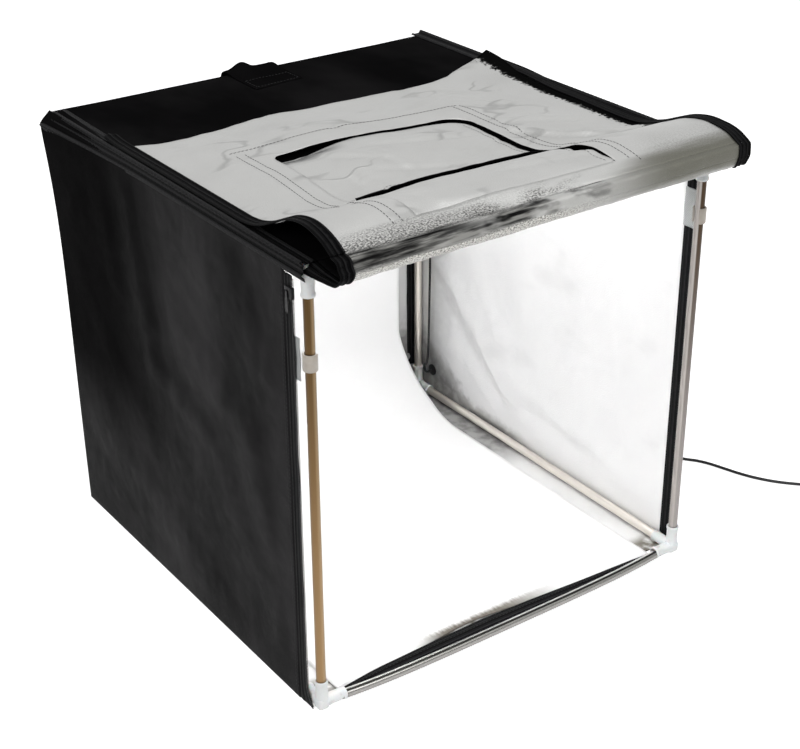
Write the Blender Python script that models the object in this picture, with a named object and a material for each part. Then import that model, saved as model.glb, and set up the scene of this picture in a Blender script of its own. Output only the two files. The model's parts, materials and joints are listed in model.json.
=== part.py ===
"""Folding light tent cube: a plug-together tube frame inside a sewn cover, with its front door open.

Lengths are in metres. +Z is up, -Y is the front, -X is the left side as seen from the front.
The origin is on the floor panel's underside, at the middle of the frame.
"""
import math

import bmesh
import bpy
from mathutils import Matrix, Vector

for leftover in list(bpy.data.objects):
    bpy.data.objects.remove(leftover, do_unlink=True)

# Clearances and cloth
GAP = 0.0003
CLOTH = 0.0012
OVERRUN = 0.002

# Frame, from tube centre to tube centre
FRAME_WIDTH = 0.388
FRAME_DEPTH = 0.400
FRAME_HEIGHT = 0.384
TUBE_RADIUS = 0.004
TUBE_WALL = 0.0008
TUBE_SIDES = 16

# Corner connectors
HUB_SIZE = 0.0108
SOCKET_RADIUS = 0.00525
SOCKET_REACH = 0.022
SOCKET_SIDES = 12

# Front edges of the walls and the floor, and their zip tapes
FLOOR_FRONT_INSET = 0.016
WALL_CORNER_RADIUS = 0.015
TAPE_WIDTH = 0.012
TAPE_SIDE_MARGIN = 0.020
TAPE_END_MARGIN = 0.006
ZIP_COIL_RADIUS = 0.0011
ROOF_OVERHANG = 0.0006

# Seam binding along the roof's sides
BINDING_THICKNESS = 0.0010
BINDING_DROP = 0.0135
BINDING_LOW_CORD = 0.0016
BINDING_HIGH_CORD = 0.0019
BINDING_LEAD = 0.009
CORNER_TAPE_WIDTH = 0.009

# Snap clips and their webbing tabs on the front posts
CLIP_WALL = 0.0015
CLIP_HEIGHT = 0.0185
CLIP_LEFT_DROP = 0.074
CLIP_RIGHT_DROP = 0.053
CLIP_OPENING_DEG = 90.0
TAB_HEIGHT = 0.035
TAB_LENGTH = 0.016
TAB_THICKNESS = 0.0006

# Carry handle, a wide strap over the roof's rear edge
HANDLE_WIDTH = 0.052
HANDLE_CENTRE_X = -0.001
HANDLE_THICKNESS = 0.0015
HANDLE_ROOF_LENGTH = 0.055
HANDLE_WALL_LENGTH = 0.053
HANDLE_RISE = 0.0048
HANDLE_STAND_OFF = 0.0066

# Front door: strand, roll and panel
FOLD_RUN = 0.0307
FOLD_DROP = 0.0026
ROLL_HEIGHT = 0.0190
ROLL_LEAN = 0.0030
ROLL_REACH_LEFT = 0.0150
ROLL_REACH_RIGHT = 0.0060
SEAM_SLIT = 0.0005
DOOR_SIDE_GAP = 0.0009
DOOR_TAPE_WIDTH = 0.012
DOOR_SHORTFALL = 0.072
DOOR_TAPE_EXTRA = 0.030
HUMP_LENGTH = 0.108
HUMP_HEIGHT = 0.0255
HUMP_LEFT_SCALE = 1.03
HUMP_RIGHT_SCALE = 0.92

# Window in the door and its two covers
WINDOW_LEFT_INSET = 0.070
WINDOW_WIDTH = 0.188
WINDOW_FRONT_INSET = 0.014
WINDOW_FRONT_LENGTH = 0.074
WINDOW_REAR_LENGTH = 0.122
WINDOW_SLIT = 0.0010
WINDOW_ROWS = 10

# Zip sliders and pulls
SLIDER_HEIGHT = 0.009
SLIDER_DEPTH = 0.0085
SLIDER_WALL = 0.0014
SLIDER_DROP = 0.0238
PULL_LENGTH = 0.018
PULL_WIDTH = 0.005
PULL_THICKNESS = 0.0008

# Backdrop sweep
BACKDROP_THICKNESS = 0.0010
BACKDROP_FRONT_INSET = 0.029
BACKDROP_BACK_INSET = 0.011
BACKDROP_RADIUS = 0.088
BACKDROP_DROP = 0.019
SLEEVE_SHORTER = 0.017
SLEEVE_THICKNESS = 0.0011
SLEEVE_OVERLAP = 0.020

# Light bars
BAR_WIDTH = 0.022
BAR_HEIGHT = 0.009
BAR_WALL = 0.0012
BAR_SIDE_GAP = 0.0115
BAR_DROP = 0.0104
BAR_FRONT_INSET = 0.070
BAR_SPACING = 0.160
HOOK_PLATE = 0.0015
HOOK_WALL = 0.0011
HOOK_WIDTH = 0.016
DIFFUSER_THICKNESS = 0.0015
BOARD_WIDTH = 0.010
BOARD_THICKNESS = 0.0015
CHIP_COUNT = 24
CHIP_LENGTH = 0.003
CHIP_HEIGHT = 0.001

# Leads inside the tent
LEAD_DIAMETER = 0.0024
LEAD_OFFSET = 0.0015

# Power cord, its grommet, coil, tie and plug
CORD_DIAMETER = 0.003
GROMMET_INSET = 0.020
GROMMET_Z = 0.030
GROMMET_HOLE_RADIUS = 0.0042
GROMMET_FLANGE_RADIUS = 0.0062
GROMMET_FLANGE = 0.0014
RELIEF_LENGTH = 0.016
RELIEF_TIP_RADIUS = 0.0021
COIL_CENTRE = (0.432, -0.190)
COIL_MEAN_RADIUS = 0.0165
COIL_TURNS = 6.25
COIL_STEP = 0.00345
COIL_POINTS_PER_TURN = 24
TIE_THICKNESS = 0.0008
TIE_WIDTH = 0.007
PLUG_GRIP_RADIUS = 0.0055
PLUG_GRIP_LENGTH = 0.024
PLUG_BARREL_RADIUS = 0.00275
PLUG_BARREL_LENGTH = 0.0095
PLUG_BORE_RADIUS = 0.00105
PLUG_BOOT_LENGTH = 0.013
PLUG_BOOT_RADIUS = 0.0026

# Places that follow from the sizes above
POST_X = FRAME_WIDTH / 2
POST_Y = FRAME_DEPTH / 2
HUB_HALF = HUB_SIZE / 2
RAIL_LOW_Z = CLOTH + GAP + HUB_HALF
RAIL_HIGH_Z = RAIL_LOW_Z + FRAME_HEIGHT
WALL_INNER_X = POST_X + HUB_HALF + GAP
WALL_OUTER_X = WALL_INNER_X + CLOTH
REAR_INNER_Y = POST_Y + HUB_HALF + GAP
REAR_OUTER_Y = REAR_INNER_Y + CLOTH
ROOF_LOW_Z = RAIL_HIGH_Z + HUB_HALF + GAP
ROOF_TOP_Z = ROOF_LOW_Z + CLOTH
PANEL_HALF_WIDTH = WALL_INNER_X - GAP
ROOF_FRONT_Y = -(POST_Y + HUB_HALF + ROOF_OVERHANG)
WALL_FRONT_Y = SOCKET_REACH - POST_Y
FLOOR_FRONT_Y = FLOOR_FRONT_INSET - POST_Y
ROOF_HINGE = (ROOF_FRONT_Y - GAP, ROOF_LOW_Z)
LOW_HINGE = (ROOF_HINGE[0] - FOLD_RUN, ROOF_HINGE[1] - FOLD_DROP)
HIGH_HINGE = (LOW_HINGE[0] - ROLL_LEAN, LOW_HINGE[1] + ROLL_HEIGHT)
DOOR_REST_Z = ROOF_TOP_Z + GAP + CLOTH
DOOR_HALF_WIDTH = WALL_OUTER_X - DOOR_SIDE_GAP - DOOR_TAPE_WIDTH
DOOR_LENGTH = FRAME_HEIGHT - DOOR_SHORTFALL
WINDOW_LEFT_X = WINDOW_LEFT_INSET - DOOR_HALF_WIDTH
WINDOW_RIGHT_X = WINDOW_LEFT_X + WINDOW_WIDTH
WINDOW_FRONT_Y = HIGH_HINGE[0] + WINDOW_FRONT_INSET
WINDOW_SPLIT_Y = WINDOW_FRONT_Y + WINDOW_FRONT_LENGTH
WINDOW_REAR_Y = WINDOW_SPLIT_Y + WINDOW_REAR_LENGTH
BACKDROP_WIDTH = FRAME_WIDTH - 2 * SOCKET_REACH
BACKDROP_FRONT_Y = BACKDROP_FRONT_INSET - POST_Y
BACKDROP_BACK_Y = POST_Y - BACKDROP_BACK_INSET
BACKDROP_TOP_Z = RAIL_HIGH_Z - BACKDROP_DROP
BAR_TOP_Z = RAIL_HIGH_Z - BAR_DROP
BAR_FRONT_Y = BAR_FRONT_INSET - POST_Y
BAR_REAR_Y = BAR_FRONT_Y + BAR_SPACING
SLIDER_TOP_Z = ROOF_TOP_Z - SLIDER_DROP
LEAD_SIDE_X = POST_X + LEAD_OFFSET
GROMMET_Y = POST_Y - GROMMET_INSET
TUBE_BORE = TUBE_RADIUS - TUBE_WALL
SOCKET_BORE = TUBE_RADIUS + GAP
CORD_RADIUS = CORD_DIAMETER / 2
LEAD_RADIUS = LEAD_DIAMETER / 2

finishes = {}


def finish(name, colour, roughness, metallic=0.0):
    """Return the Principled material of that name, made once."""
    if name not in finishes:
        material = bpy.data.materials.new(name)
        material.use_nodes = True
        shader = material.node_tree.nodes["Principled BSDF"]
        shader.inputs["Base Color"].default_value = (*colour, 1.0)
        shader.inputs["Roughness"].default_value = roughness
        shader.inputs["Metallic"].default_value = metallic
        material.diffuse_color = (*colour, 1.0)
        finishes[name] = material
    return finishes[name]


BLACK_CLOTH = finish("black_cloth", (0.012, 0.012, 0.013), 0.75)
SILVER_CLOTH = finish("silver_lining", (0.55, 0.55, 0.54), 0.35, 0.6)
BLACK_TAPE = finish("black_tape", (0.008, 0.008, 0.009), 0.7)
GREY_TAPE = finish("grey_webbing", (0.30, 0.30, 0.31), 0.8)
WHITE_SHEET = finish("white_backdrop", (0.88, 0.88, 0.88), 0.6)
WHITE_PLASTIC = finish("white_plastic", (0.78, 0.79, 0.79), 0.4)
TUBE_STEEL = finish("tube_steel", (0.55, 0.54, 0.52), 0.3, 1.0)
ZIP_METAL = finish("zip_metal", (0.05, 0.05, 0.05), 0.35, 1.0)
BAR_ALUMINIUM = finish("bar_aluminium", (0.72, 0.72, 0.73), 0.35, 1.0)
DIFFUSER_PLASTIC = finish("diffuser", (0.9, 0.9, 0.9), 0.5)
BOARD_WHITE = finish("light_board", (0.85, 0.84, 0.78), 0.5)
BLACK_RUBBER = finish("black_rubber", (0.012, 0.012, 0.012), 0.5)


def add_object(name, mesh, material, pivot=(0.0, 0.0, 0.0)):
    """Put a mesh with world coordinates into the scene, with its origin on its pivot."""
    mesh.transform(Matrix.Translation(-Vector(pivot)))
    item = bpy.data.objects.new(name, mesh)
    item.location = pivot
    item.data.materials.append(material)
    bpy.context.scene.collection.objects.link(item)
    return item


def mesh_from_bmesh(name, form, smooth=False):
    """Close off a bmesh as mesh data with its faces pointing out."""
    bmesh.ops.recalc_face_normals(form, faces=form.faces)
    mesh = bpy.data.meshes.new(name)
    form.to_mesh(mesh)
    form.free()
    if smooth:
        mesh.shade_smooth()
        mesh.set_sharp_from_angle(angle=math.radians(40.0))
    return mesh


def spatial(axis, along, first, second):
    """Turn a distance along an axis and two cross coordinates into a point."""
    if axis == "X":
        return (along, first, second)
    if axis == "Y":
        return (first, along, second)
    return (first, second, along)


def add_prism(form, outline, axis, start, end, hole=None):
    """Add an outline, pushed along an axis, with an inner outline as a hole if there is one."""
    rings = []
    for loop in [outline] + ([hole] if hole else []):
        low = [form.verts.new(spatial(axis, start, *point)) for point in loop]
        high = [form.verts.new(spatial(axis, end, *point)) for point in loop]
        rings.append((low, high))
        for index in range(len(loop)):
            following = (index + 1) % len(loop)
            form.faces.new((low[index], low[following], high[following], high[index]))
    for level in (0, 1):
        if hole:
            outer, inner = rings[0][level], rings[1][level]
            for index in range(len(outer)):
                following = (index + 1) % len(outer)
                form.faces.new((outer[index], outer[following], inner[following], inner[index]))
        else:
            form.faces.new(rings[0][level])


def prism(name, outline, axis, start, end, material, hole=None, pivot=(0.0, 0.0, 0.0), smooth=False):
    """Make one object from one pushed outline."""
    form = bmesh.new()
    add_prism(form, outline, axis, start, end, hole)
    return add_object(name, mesh_from_bmesh(name, form, smooth), material, pivot)


def rectangle(low, high):
    """Outline of a rectangle from its low corner to its high corner."""
    return [(low[0], low[1]), (high[0], low[1]), (high[0], high[1]), (low[0], high[1])]


def box(name, low, high, material, pivot=(0.0, 0.0, 0.0)):
    """Make a plain block between two corners."""
    return prism(name, rectangle(low[:2], high[:2]), "Z", low[2], high[2], material, pivot=pivot)


def arc(centre, radius, start, end, steps):
    """Points along an arc, with its ends, in degrees from the first cross axis."""
    angles = [math.radians(start + (end - start) * step / steps) for step in range(steps + 1)]
    return [(centre[0] + radius * math.cos(a), centre[1] + radius * math.sin(a)) for a in angles]


def circle(centre, radius, sides):
    """Closed outline of a circle."""
    return arc(centre, radius, 0.0, 360.0, sides)[:-1]


def smooth_curve(points, steps):
    """Points along a smooth curve through the given ones, with that many steps for each stretch."""
    places = [Vector(point) for point in points]
    padded = [2 * places[0] - places[1]] + places + [2 * places[-1] - places[-2]]
    found = []
    for index in range(1, len(padded) - 2):
        before, start, end, after = padded[index - 1:index + 3]
        for step in range(steps):
            t = step / steps
            spread = (2 * start + (end - before) * t + (2 * before - 5 * start + 4 * end - after) * t ** 2
                      + (3 * start - before - 3 * end + after) * t ** 3)
            found.append(spread / 2)
    return found + [places[-1]]


def sheet(name, rows, thickness, material, below, pivot=(0.0, 0.0, 0.0), opening=None):
    """Make a cloth sheet below or above rows of points; cells that opening() names are left out."""
    form = bmesh.new()
    grid = [[form.verts.new(point) for point in row] for row in rows]
    for across in range(len(rows) - 1):
        for along in range(len(rows[0]) - 1):
            corners = (grid[across][along], grid[across][along + 1],
                       grid[across + 1][along + 1], grid[across + 1][along])
            middle = sum((corner.co for corner in corners), Vector()) / len(corners)
            if opening is None or not opening(middle):
                form.faces.new(corners)
    loose = [vertex for vertex in form.verts if not vertex.link_faces]
    bmesh.ops.delete(form, geom=loose, context="VERTS")
    mesh = bpy.data.meshes.new(name)
    form.to_mesh(mesh)
    form.free()
    item = add_object(name, mesh, material, pivot)
    shell = item.modifiers.new("thickness", "SOLIDIFY")
    shell.thickness = thickness
    shell.offset = 1.0 if below else -1.0
    return item


def cord_tube(name, points, diameter, resolution, material):
    """Make a round cord through the points as one closed tube."""
    curve = bpy.data.curves.new(name, "CURVE")
    curve.dimensions = "3D"
    curve.bevel_depth = diameter / 2
    curve.bevel_resolution = resolution
    curve.use_fill_caps = True
    spline = curve.splines.new("POLY")
    spline.points.add(len(points) - 1)
    for place, point in zip(spline.points, points):
        place.co = (*point, 1.0)
    item = bpy.data.objects.new(name, curve)
    item.data.materials.append(material)
    bpy.context.scene.collection.objects.link(item)
    return item


def turned(name, profile, sides, placing, material):
    """Make a turned piece from (distance along, radius) points that close round a bore."""
    form = bmesh.new()
    rings = []
    for along, radius in profile:
        points = [(along, y, z) for y, z in circle((0.0, 0.0), radius, sides)]
        rings.append([form.verts.new(placing @ Vector(point)) for point in points])
    for index, ring in enumerate(rings):
        following = rings[(index + 1) % len(rings)]
        for side in range(sides):
            beyond = (side + 1) % sides
            form.faces.new((ring[side], ring[beyond], following[beyond], following[side]))
    return add_object(name, mesh_from_bmesh(name, form, smooth=True), material)


def combine(target, helper, operation):
    """Add a helper body to an object or subtract it, and keep the helper out of sight."""
    helper.hide_render = True
    helper.display_type = "WIRE"
    tool = target.modifiers.new(operation.lower(), "BOOLEAN")
    tool.operation = operation
    tool.solver = "EXACT"
    tool.object = helper


# Tube frame


def frame_tube(name, axis, centre):
    """Make one hollow tube that ends inside its two corner connectors."""
    span = {"X": FRAME_WIDTH, "Y": FRAME_DEPTH, "Z": FRAME_HEIGHT}[axis]
    middle = RAIL_LOW_Z + FRAME_HEIGHT / 2 if axis == "Z" else 0.0
    reach = span / 2 - HUB_HALF - GAP
    prism(name, circle(centre, TUBE_RADIUS, TUBE_SIDES), axis, middle - reach, middle + reach,
          TUBE_STEEL, hole=circle(centre, TUBE_BORE, TUBE_SIDES), smooth=True)


def build_frame():
    """Four posts and eight rails."""
    for depth, y in (("front", -POST_Y), ("rear", POST_Y)):
        for side, x in (("left", -POST_X), ("right", POST_X)):
            frame_tube(f"post_{depth}_{side}", "Z", (x, y))
        for level, z in (("bottom", RAIL_LOW_Z), ("top", RAIL_HIGH_Z)):
            frame_tube(f"rail_{level}_{depth}", "X", (y, z))
    for side, x in (("left", -POST_X), ("right", POST_X)):
        for level, z in (("bottom", RAIL_LOW_Z), ("top", RAIL_HIGH_Z)):
            frame_tube(f"rail_{level}_{side}", "Y", (x, z))


def corner_mesh():
    """Three sockets on a square hub, reaching along +X, +Y and +Z from the hub's middle."""
    low = (-HUB_HALF, -HUB_HALF)
    high = (HUB_HALF, HUB_HALF)
    pattern = prism("corner_pattern", rectangle(low, high), "Z", -HUB_HALF, HUB_HALF, WHITE_PLASTIC)
    edge = pattern.modifiers.new("rounding", "BEVEL")
    edge.width = HUB_HALF / 4
    edge.segments = 1
    guides = []
    for axis in "XYZ":
        outer = circle((0.0, 0.0), SOCKET_RADIUS, SOCKET_SIDES)
        guides.append(prism(f"socket_{axis}", outer, axis, HUB_HALF / 2, SOCKET_REACH, WHITE_PLASTIC))
        combine(pattern, guides[-1], "UNION")
    for axis in "XYZ":
        inner = circle((0.0, 0.0), SOCKET_BORE, SOCKET_SIDES)
        guides.append(prism(f"bore_{axis}", inner, axis, HUB_HALF, SOCKET_REACH + OVERRUN, WHITE_PLASTIC))
        combine(pattern, guides[-1], "DIFFERENCE")
    bpy.context.view_layer.update()
    shaped = pattern.evaluated_get(bpy.context.evaluated_depsgraph_get())
    mesh = bpy.data.meshes.new_from_object(shaped)
    for guide in guides + [pattern]:
        bpy.data.objects.remove(guide, do_unlink=True)
    return mesh


def build_corners():
    """One three-way connector at each corner of the frame, all of one mesh."""
    mesh = corner_mesh()
    for level, up in (("bottom", -1), ("top", 1)):
        for depth, back in (("front", -1), ("rear", 1)):
            for side, right in (("left", -1), ("right", 1)):
                if right * back * up < 0:
                    columns = ((-right, 0, 0), (0, -back, 0), (0, 0, -up))
                else:
                    columns = ((0, -back, 0), (-right, 0, 0), (0, 0, -up))
                turn = Matrix(columns).transposed().to_4x4()
                height = RAIL_LOW_Z if up < 0 else RAIL_HIGH_Z
                corner = bpy.data.objects.new(f"corner_{level}_{depth}_{side}", mesh)
                corner.matrix_world = Matrix.Translation((right * POST_X, back * POST_Y, height)) @ turn
                bpy.context.scene.collection.objects.link(corner)


def build_post_clips():
    """A snap clip round each front post and the webbing tab that ties it to the wall."""
    inner = SOCKET_BORE
    outer = inner + CLIP_WALL
    for side, sign, middle in (("left", -1, RAIL_HIGH_Z - CLIP_LEFT_DROP), ("right", 1, RAIL_HIGH_Z - CLIP_RIGHT_DROP)):
        centre = (sign * POST_X, -POST_Y)
        mouth = 0.0 if sign < 0 else 180.0
        start = mouth + CLIP_OPENING_DEG / 2
        end = mouth + 360.0 - CLIP_OPENING_DEG / 2
        outline = arc(centre, outer, start, end, TUBE_SIDES) + arc(centre, inner, end, start, TUBE_SIDES)
        prism(f"post_clip_{side}", outline, "Z", middle - CLIP_HEIGHT / 2, middle + CLIP_HEIGHT / 2,
              WHITE_PLASTIC, smooth=True)
        face = WALL_INNER_X + CLOTH / 2 - ZIP_COIL_RADIUS - GAP
        faces = sorted((sign * face, sign * (face - TAB_THICKNESS)))
        front = -POST_Y + outer + GAP
        box(f"clip_tab_{side}", (faces[0], front, middle - TAB_HEIGHT / 2),
            (faces[1], front + TAB_LENGTH, middle + TAB_HEIGHT / 2), GREY_TAPE)


# Sewn cover


def build_walls():
    """Left and right walls, the latter with the grommet's hole, and the rear wall with its seam tapes."""
    corner = (WALL_FRONT_Y + WALL_CORNER_RADIUS, ROOF_TOP_Z - WALL_CORNER_RADIUS)
    rounded = arc(corner, WALL_CORNER_RADIUS, 180.0, 90.0, 6)
    outline = [(REAR_OUTER_Y, ROOF_TOP_Z), (REAR_OUTER_Y, 0.0), (WALL_FRONT_Y, 0.0)] + rounded
    prism("left_wall", outline, "X", -WALL_OUTER_X, -WALL_INNER_X, BLACK_CLOTH)
    right_wall = prism("right_wall", outline, "X", WALL_INNER_X, WALL_OUTER_X, BLACK_CLOTH)
    hole = circle((GROMMET_Y, GROMMET_Z), GROMMET_HOLE_RADIUS + GAP, TUBE_SIDES)
    cutter = prism("grommet_hole", hole, "X", WALL_INNER_X - OVERRUN, WALL_OUTER_X + OVERRUN, BLACK_CLOTH)
    combine(right_wall, cutter, "DIFFERENCE")
    rear_wall = box("rear_wall", (-PANEL_HALF_WIDTH, REAR_INNER_Y, 0.0),
                    (PANEL_HALF_WIDTH, REAR_OUTER_Y, ROOF_TOP_Z), BLACK_CLOTH)
    for side, sign in (("left", -1), ("right", 1)):
        near = POST_X - SOCKET_RADIUS - OVERRUN
        across = sorted((sign * near, sign * (near - CORNER_TAPE_WIDTH)))
        tape = box(f"rear_corner_tape_{side}", (across[0], REAR_INNER_Y - CLOTH, RAIL_LOW_Z + SOCKET_REACH),
                   (across[1], REAR_INNER_Y + CLOTH / 2, RAIL_HIGH_Z - SOCKET_REACH), BLACK_TAPE)
        combine(rear_wall, tape, "UNION")


def build_roof_and_floor():
    """Roof and floor panels between the walls."""
    back = REAR_INNER_Y - GAP
    box("roof_panel", (-PANEL_HALF_WIDTH, ROOF_FRONT_Y, ROOF_LOW_Z),
        (PANEL_HALF_WIDTH, back, ROOF_TOP_Z), BLACK_CLOTH)
    box("floor_panel", (-PANEL_HALF_WIDTH, FLOOR_FRONT_Y, 0.0),
        (PANEL_HALF_WIDTH, back, CLOTH), BLACK_CLOTH)


def tape_outline(middle, edge, seam, upright):
    """Section of a zip tape: a flat band that ends in its round coil at the free edge."""
    half = CLOTH / 2
    opening = math.degrees(math.asin(half / ZIP_COIL_RADIUS))
    coil = (middle, edge + ZIP_COIL_RADIUS) if upright else (edge + ZIP_COIL_RADIUS, middle)
    start = 90.0 + opening if upright else opening
    bead = arc(coil, ZIP_COIL_RADIUS, start, start + 360.0 - 2 * opening, 8)
    if upright:
        return [(middle + half, seam), (middle - half, seam)] + bead
    return [(seam, middle - half), (seam, middle + half)] + bead


def build_cover_tapes():
    """Zip tapes along the front edges of the walls and of the floor."""
    edge = WALL_FRONT_Y - GAP - TAPE_WIDTH
    seam = WALL_FRONT_Y - GAP
    for side, sign in (("left", -1), ("right", 1)):
        outline = tape_outline(sign * (WALL_INNER_X + CLOTH / 2), edge, seam, upright=True)
        prism(f"{side}_wall_zip_tape", outline, "Z", TAPE_END_MARGIN,
              ROOF_TOP_Z - WALL_CORNER_RADIUS, BLACK_TAPE, smooth=True)
    seam = FLOOR_FRONT_Y - GAP
    width = PANEL_HALF_WIDTH - TAPE_SIDE_MARGIN
    outline = tape_outline(ZIP_COIL_RADIUS, seam - TAPE_WIDTH, seam, upright=False)
    prism("floor_zip_tape", outline, "X", -width, width, BLACK_TAPE, smooth=True)


def build_bindings():
    """Corded binding along the roof's side seams."""
    for side, sign in (("left", -1), ("right", 1)):
        face = WALL_OUTER_X + GAP
        low = ROOF_TOP_Z - BINDING_DROP
        low_cord = arc((face + BINDING_LOW_CORD / 2, low), BINDING_LOW_CORD, -120.0, 60.0, 5)
        high_cord = arc((face + BINDING_HIGH_CORD / 2, ROOF_TOP_Z + BINDING_HIGH_CORD), BINDING_HIGH_CORD,
                        -60.0, 240.0, 8)
        profile = [(face, low - BINDING_LOW_CORD)] + low_cord
        profile.append((face + BINDING_THICKNESS, low + BINDING_LOW_CORD + GAP))
        profile.append((face + BINDING_THICKNESS, ROOF_TOP_Z - GAP))
        profile += high_cord
        profile.append((face, ROOF_TOP_Z))
        outline = [(sign * max(x, face), z) for x, z in profile]
        prism(f"roof_binding_{side}", outline, "Y", WALL_FRONT_Y - BINDING_LEAD, REAR_OUTER_Y, BLACK_TAPE, smooth=True)


def build_handle():
    """Carry handle: sewn to the roof and to the rear wall, with a bow over the edge between them."""
    roof = ROOF_TOP_Z + GAP
    wall = REAR_OUTER_Y + GAP
    bow = [
        (wall - HANDLE_ROOF_LENGTH, roof),
        (wall - HANDLE_ROOF_LENGTH / 2, roof),
        (wall - HANDLE_ROOF_LENGTH / 3, roof + HANDLE_RISE / 2),
        (wall - HANDLE_STAND_OFF, roof + HANDLE_RISE),
        (wall + HANDLE_STAND_OFF / 3, roof + HANDLE_RISE),
        (wall + HANDLE_STAND_OFF, roof + HANDLE_RISE / 3),
        (wall + HANDLE_STAND_OFF, roof - HANDLE_STAND_OFF),
        (wall + HANDLE_STAND_OFF / 2, roof - HANDLE_WALL_LENGTH / 3),
        (wall, roof - HANDLE_WALL_LENGTH / 2),
        (wall, roof - HANDLE_WALL_LENGTH),
    ]
    left = HANDLE_CENTRE_X - HANDLE_WIDTH / 2
    right = HANDLE_CENTRE_X + HANDLE_WIDTH / 2
    line = [(0.0, y, z) for y, z in bow]
    path = smooth_curve(line, 3)
    rows = [[(x, point.y, point.z) for point in path] for x in (left, right)]
    sheet("carry_handle", rows, HANDLE_THICKNESS, BLACK_TAPE, below=False)


# Front door, open on the roof

HUMP_SHARES = [
    (0.0, 0.57), (0.10, 0.80), (0.22, 0.95), (0.36, 1.0), (0.52, 0.87),
    (0.68, 0.58), (0.84, 0.27), (1.0, 0.07), (1.15, 0.0),
]
FAR_EDGE_SHARES = [
    (-1.0, 1.015), (-0.90, 0.995), (-0.75, 0.98), (-0.55, 0.987), (-0.30, 1.02), (0.0, 1.0),
    (0.30, 0.985), (0.55, 0.985), (0.72, 1.005), (0.86, 1.05), (1.0, 1.075),
]


def interpolate(table, place):
    """Read a table of (place, value) shares with straight lines between its entries."""
    if place <= table[0][0]:
        return table[0][1]
    for (low, before), (high, after) in zip(table, table[1:]):
        if place <= high:
            return before + (after - before) * (place - low) / (high - low)
    return table[-1][1]


HUMP_CURVE = [(point.x, point.y) for point in smooth_curve([(a, b, 0.0) for a, b in HUMP_SHARES], 4)]


def door_height(x, y):
    """Height of the open door's upper face: a hump behind the roll, then flat on the roof."""
    across = (x / DOOR_HALF_WIDTH + 1) / 2
    scale = HUMP_LEFT_SCALE + (HUMP_RIGHT_SCALE - HUMP_LEFT_SCALE) * across
    share = (y - HIGH_HINGE[0]) / HUMP_LENGTH
    swell = interpolate(HUMP_CURVE, share)
    ease = min(1.0, max(0.0, share) * 4)
    return DOOR_REST_Z + HUMP_HEIGHT * swell * (1 + (scale - 1) * ease)


def door_far_edge(x):
    """Place of the open door's free edge, which bows along its width."""
    return HIGH_HINGE[0] + DOOR_LENGTH * interpolate(FAR_EDGE_SHARES, x / DOOR_HALF_WIDTH)


def steps_between(low, high, count):
    """Evenly spaced places from low to high."""
    return [low + (high - low) * step / count for step in range(count + 1)]


def build_door_folds():
    """The strand from the roof's edge to the roll, and the roll's rounded front."""
    width = DOOR_HALF_WIDTH + DOOR_TAPE_WIDTH
    start = (ROOF_HINGE[0] - GAP, ROOF_HINGE[1])
    end = (LOW_HINGE[0] + GAP, LOW_HINGE[1] - CLOTH)
    outline = [start, end, (end[0], end[1] + CLOTH), (start[0], start[1] + CLOTH)]
    prism("door_top_fold", outline, "X", -width, width, SILVER_CLOTH,
          pivot=(0.0, ROOF_HINGE[0], ROOF_HINGE[1]))
    rows = []
    for x in steps_between(-width, width, 12):
        across = (x / width + 1) / 2
        reach = ROLL_REACH_LEFT + (ROLL_REACH_RIGHT - ROLL_REACH_LEFT) * across
        low = (LOW_HINGE[0] - SEAM_SLIT, LOW_HINGE[1] - CLOTH)
        high = (HIGH_HINGE[0] - SEAM_SLIT, HIGH_HINGE[1] + CLOTH)
        tip = low[0] - reach
        line = [
            (x, low[0], low[1]),
            (x, low[0] - reach / 2, low[1] + ROLL_HEIGHT / 12),
            (x, tip, low[1] + ROLL_HEIGHT / 2),
            (x, high[0] - reach / 2, high[1] - ROLL_HEIGHT / 10),
            (x, high[0], high[1]),
        ]
        rows.append([tuple(point) for point in smooth_curve(line, 3)])
    sheet("door_roll", rows, CLOTH, SILVER_CLOTH, below=True, pivot=(0.0, LOW_HINGE[0], LOW_HINGE[1]))


def door_rows(left, right, columns, front, rear_rows, window_rows):
    """Rows of points on the door's upper face between two side lines."""
    rows = []
    for x in steps_between(left, right, columns):
        places = steps_between(front, WINDOW_FRONT_Y, 2)[:-1]
        places += steps_between(WINDOW_FRONT_Y, WINDOW_SPLIT_Y, window_rows)[:-1]
        places += steps_between(WINDOW_SPLIT_Y, WINDOW_REAR_Y, window_rows)[:-1]
        places += steps_between(WINDOW_REAR_Y, door_far_edge(x), rear_rows)
        rows.append([(x, y, door_height(x, y)) for y in places])
    return rows


def in_window(middle):
    """Tell whether a cell of the door lies in its window."""
    return WINDOW_LEFT_X < middle.x < WINDOW_RIGHT_X and WINDOW_FRONT_Y < middle.y < WINDOW_REAR_Y


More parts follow.
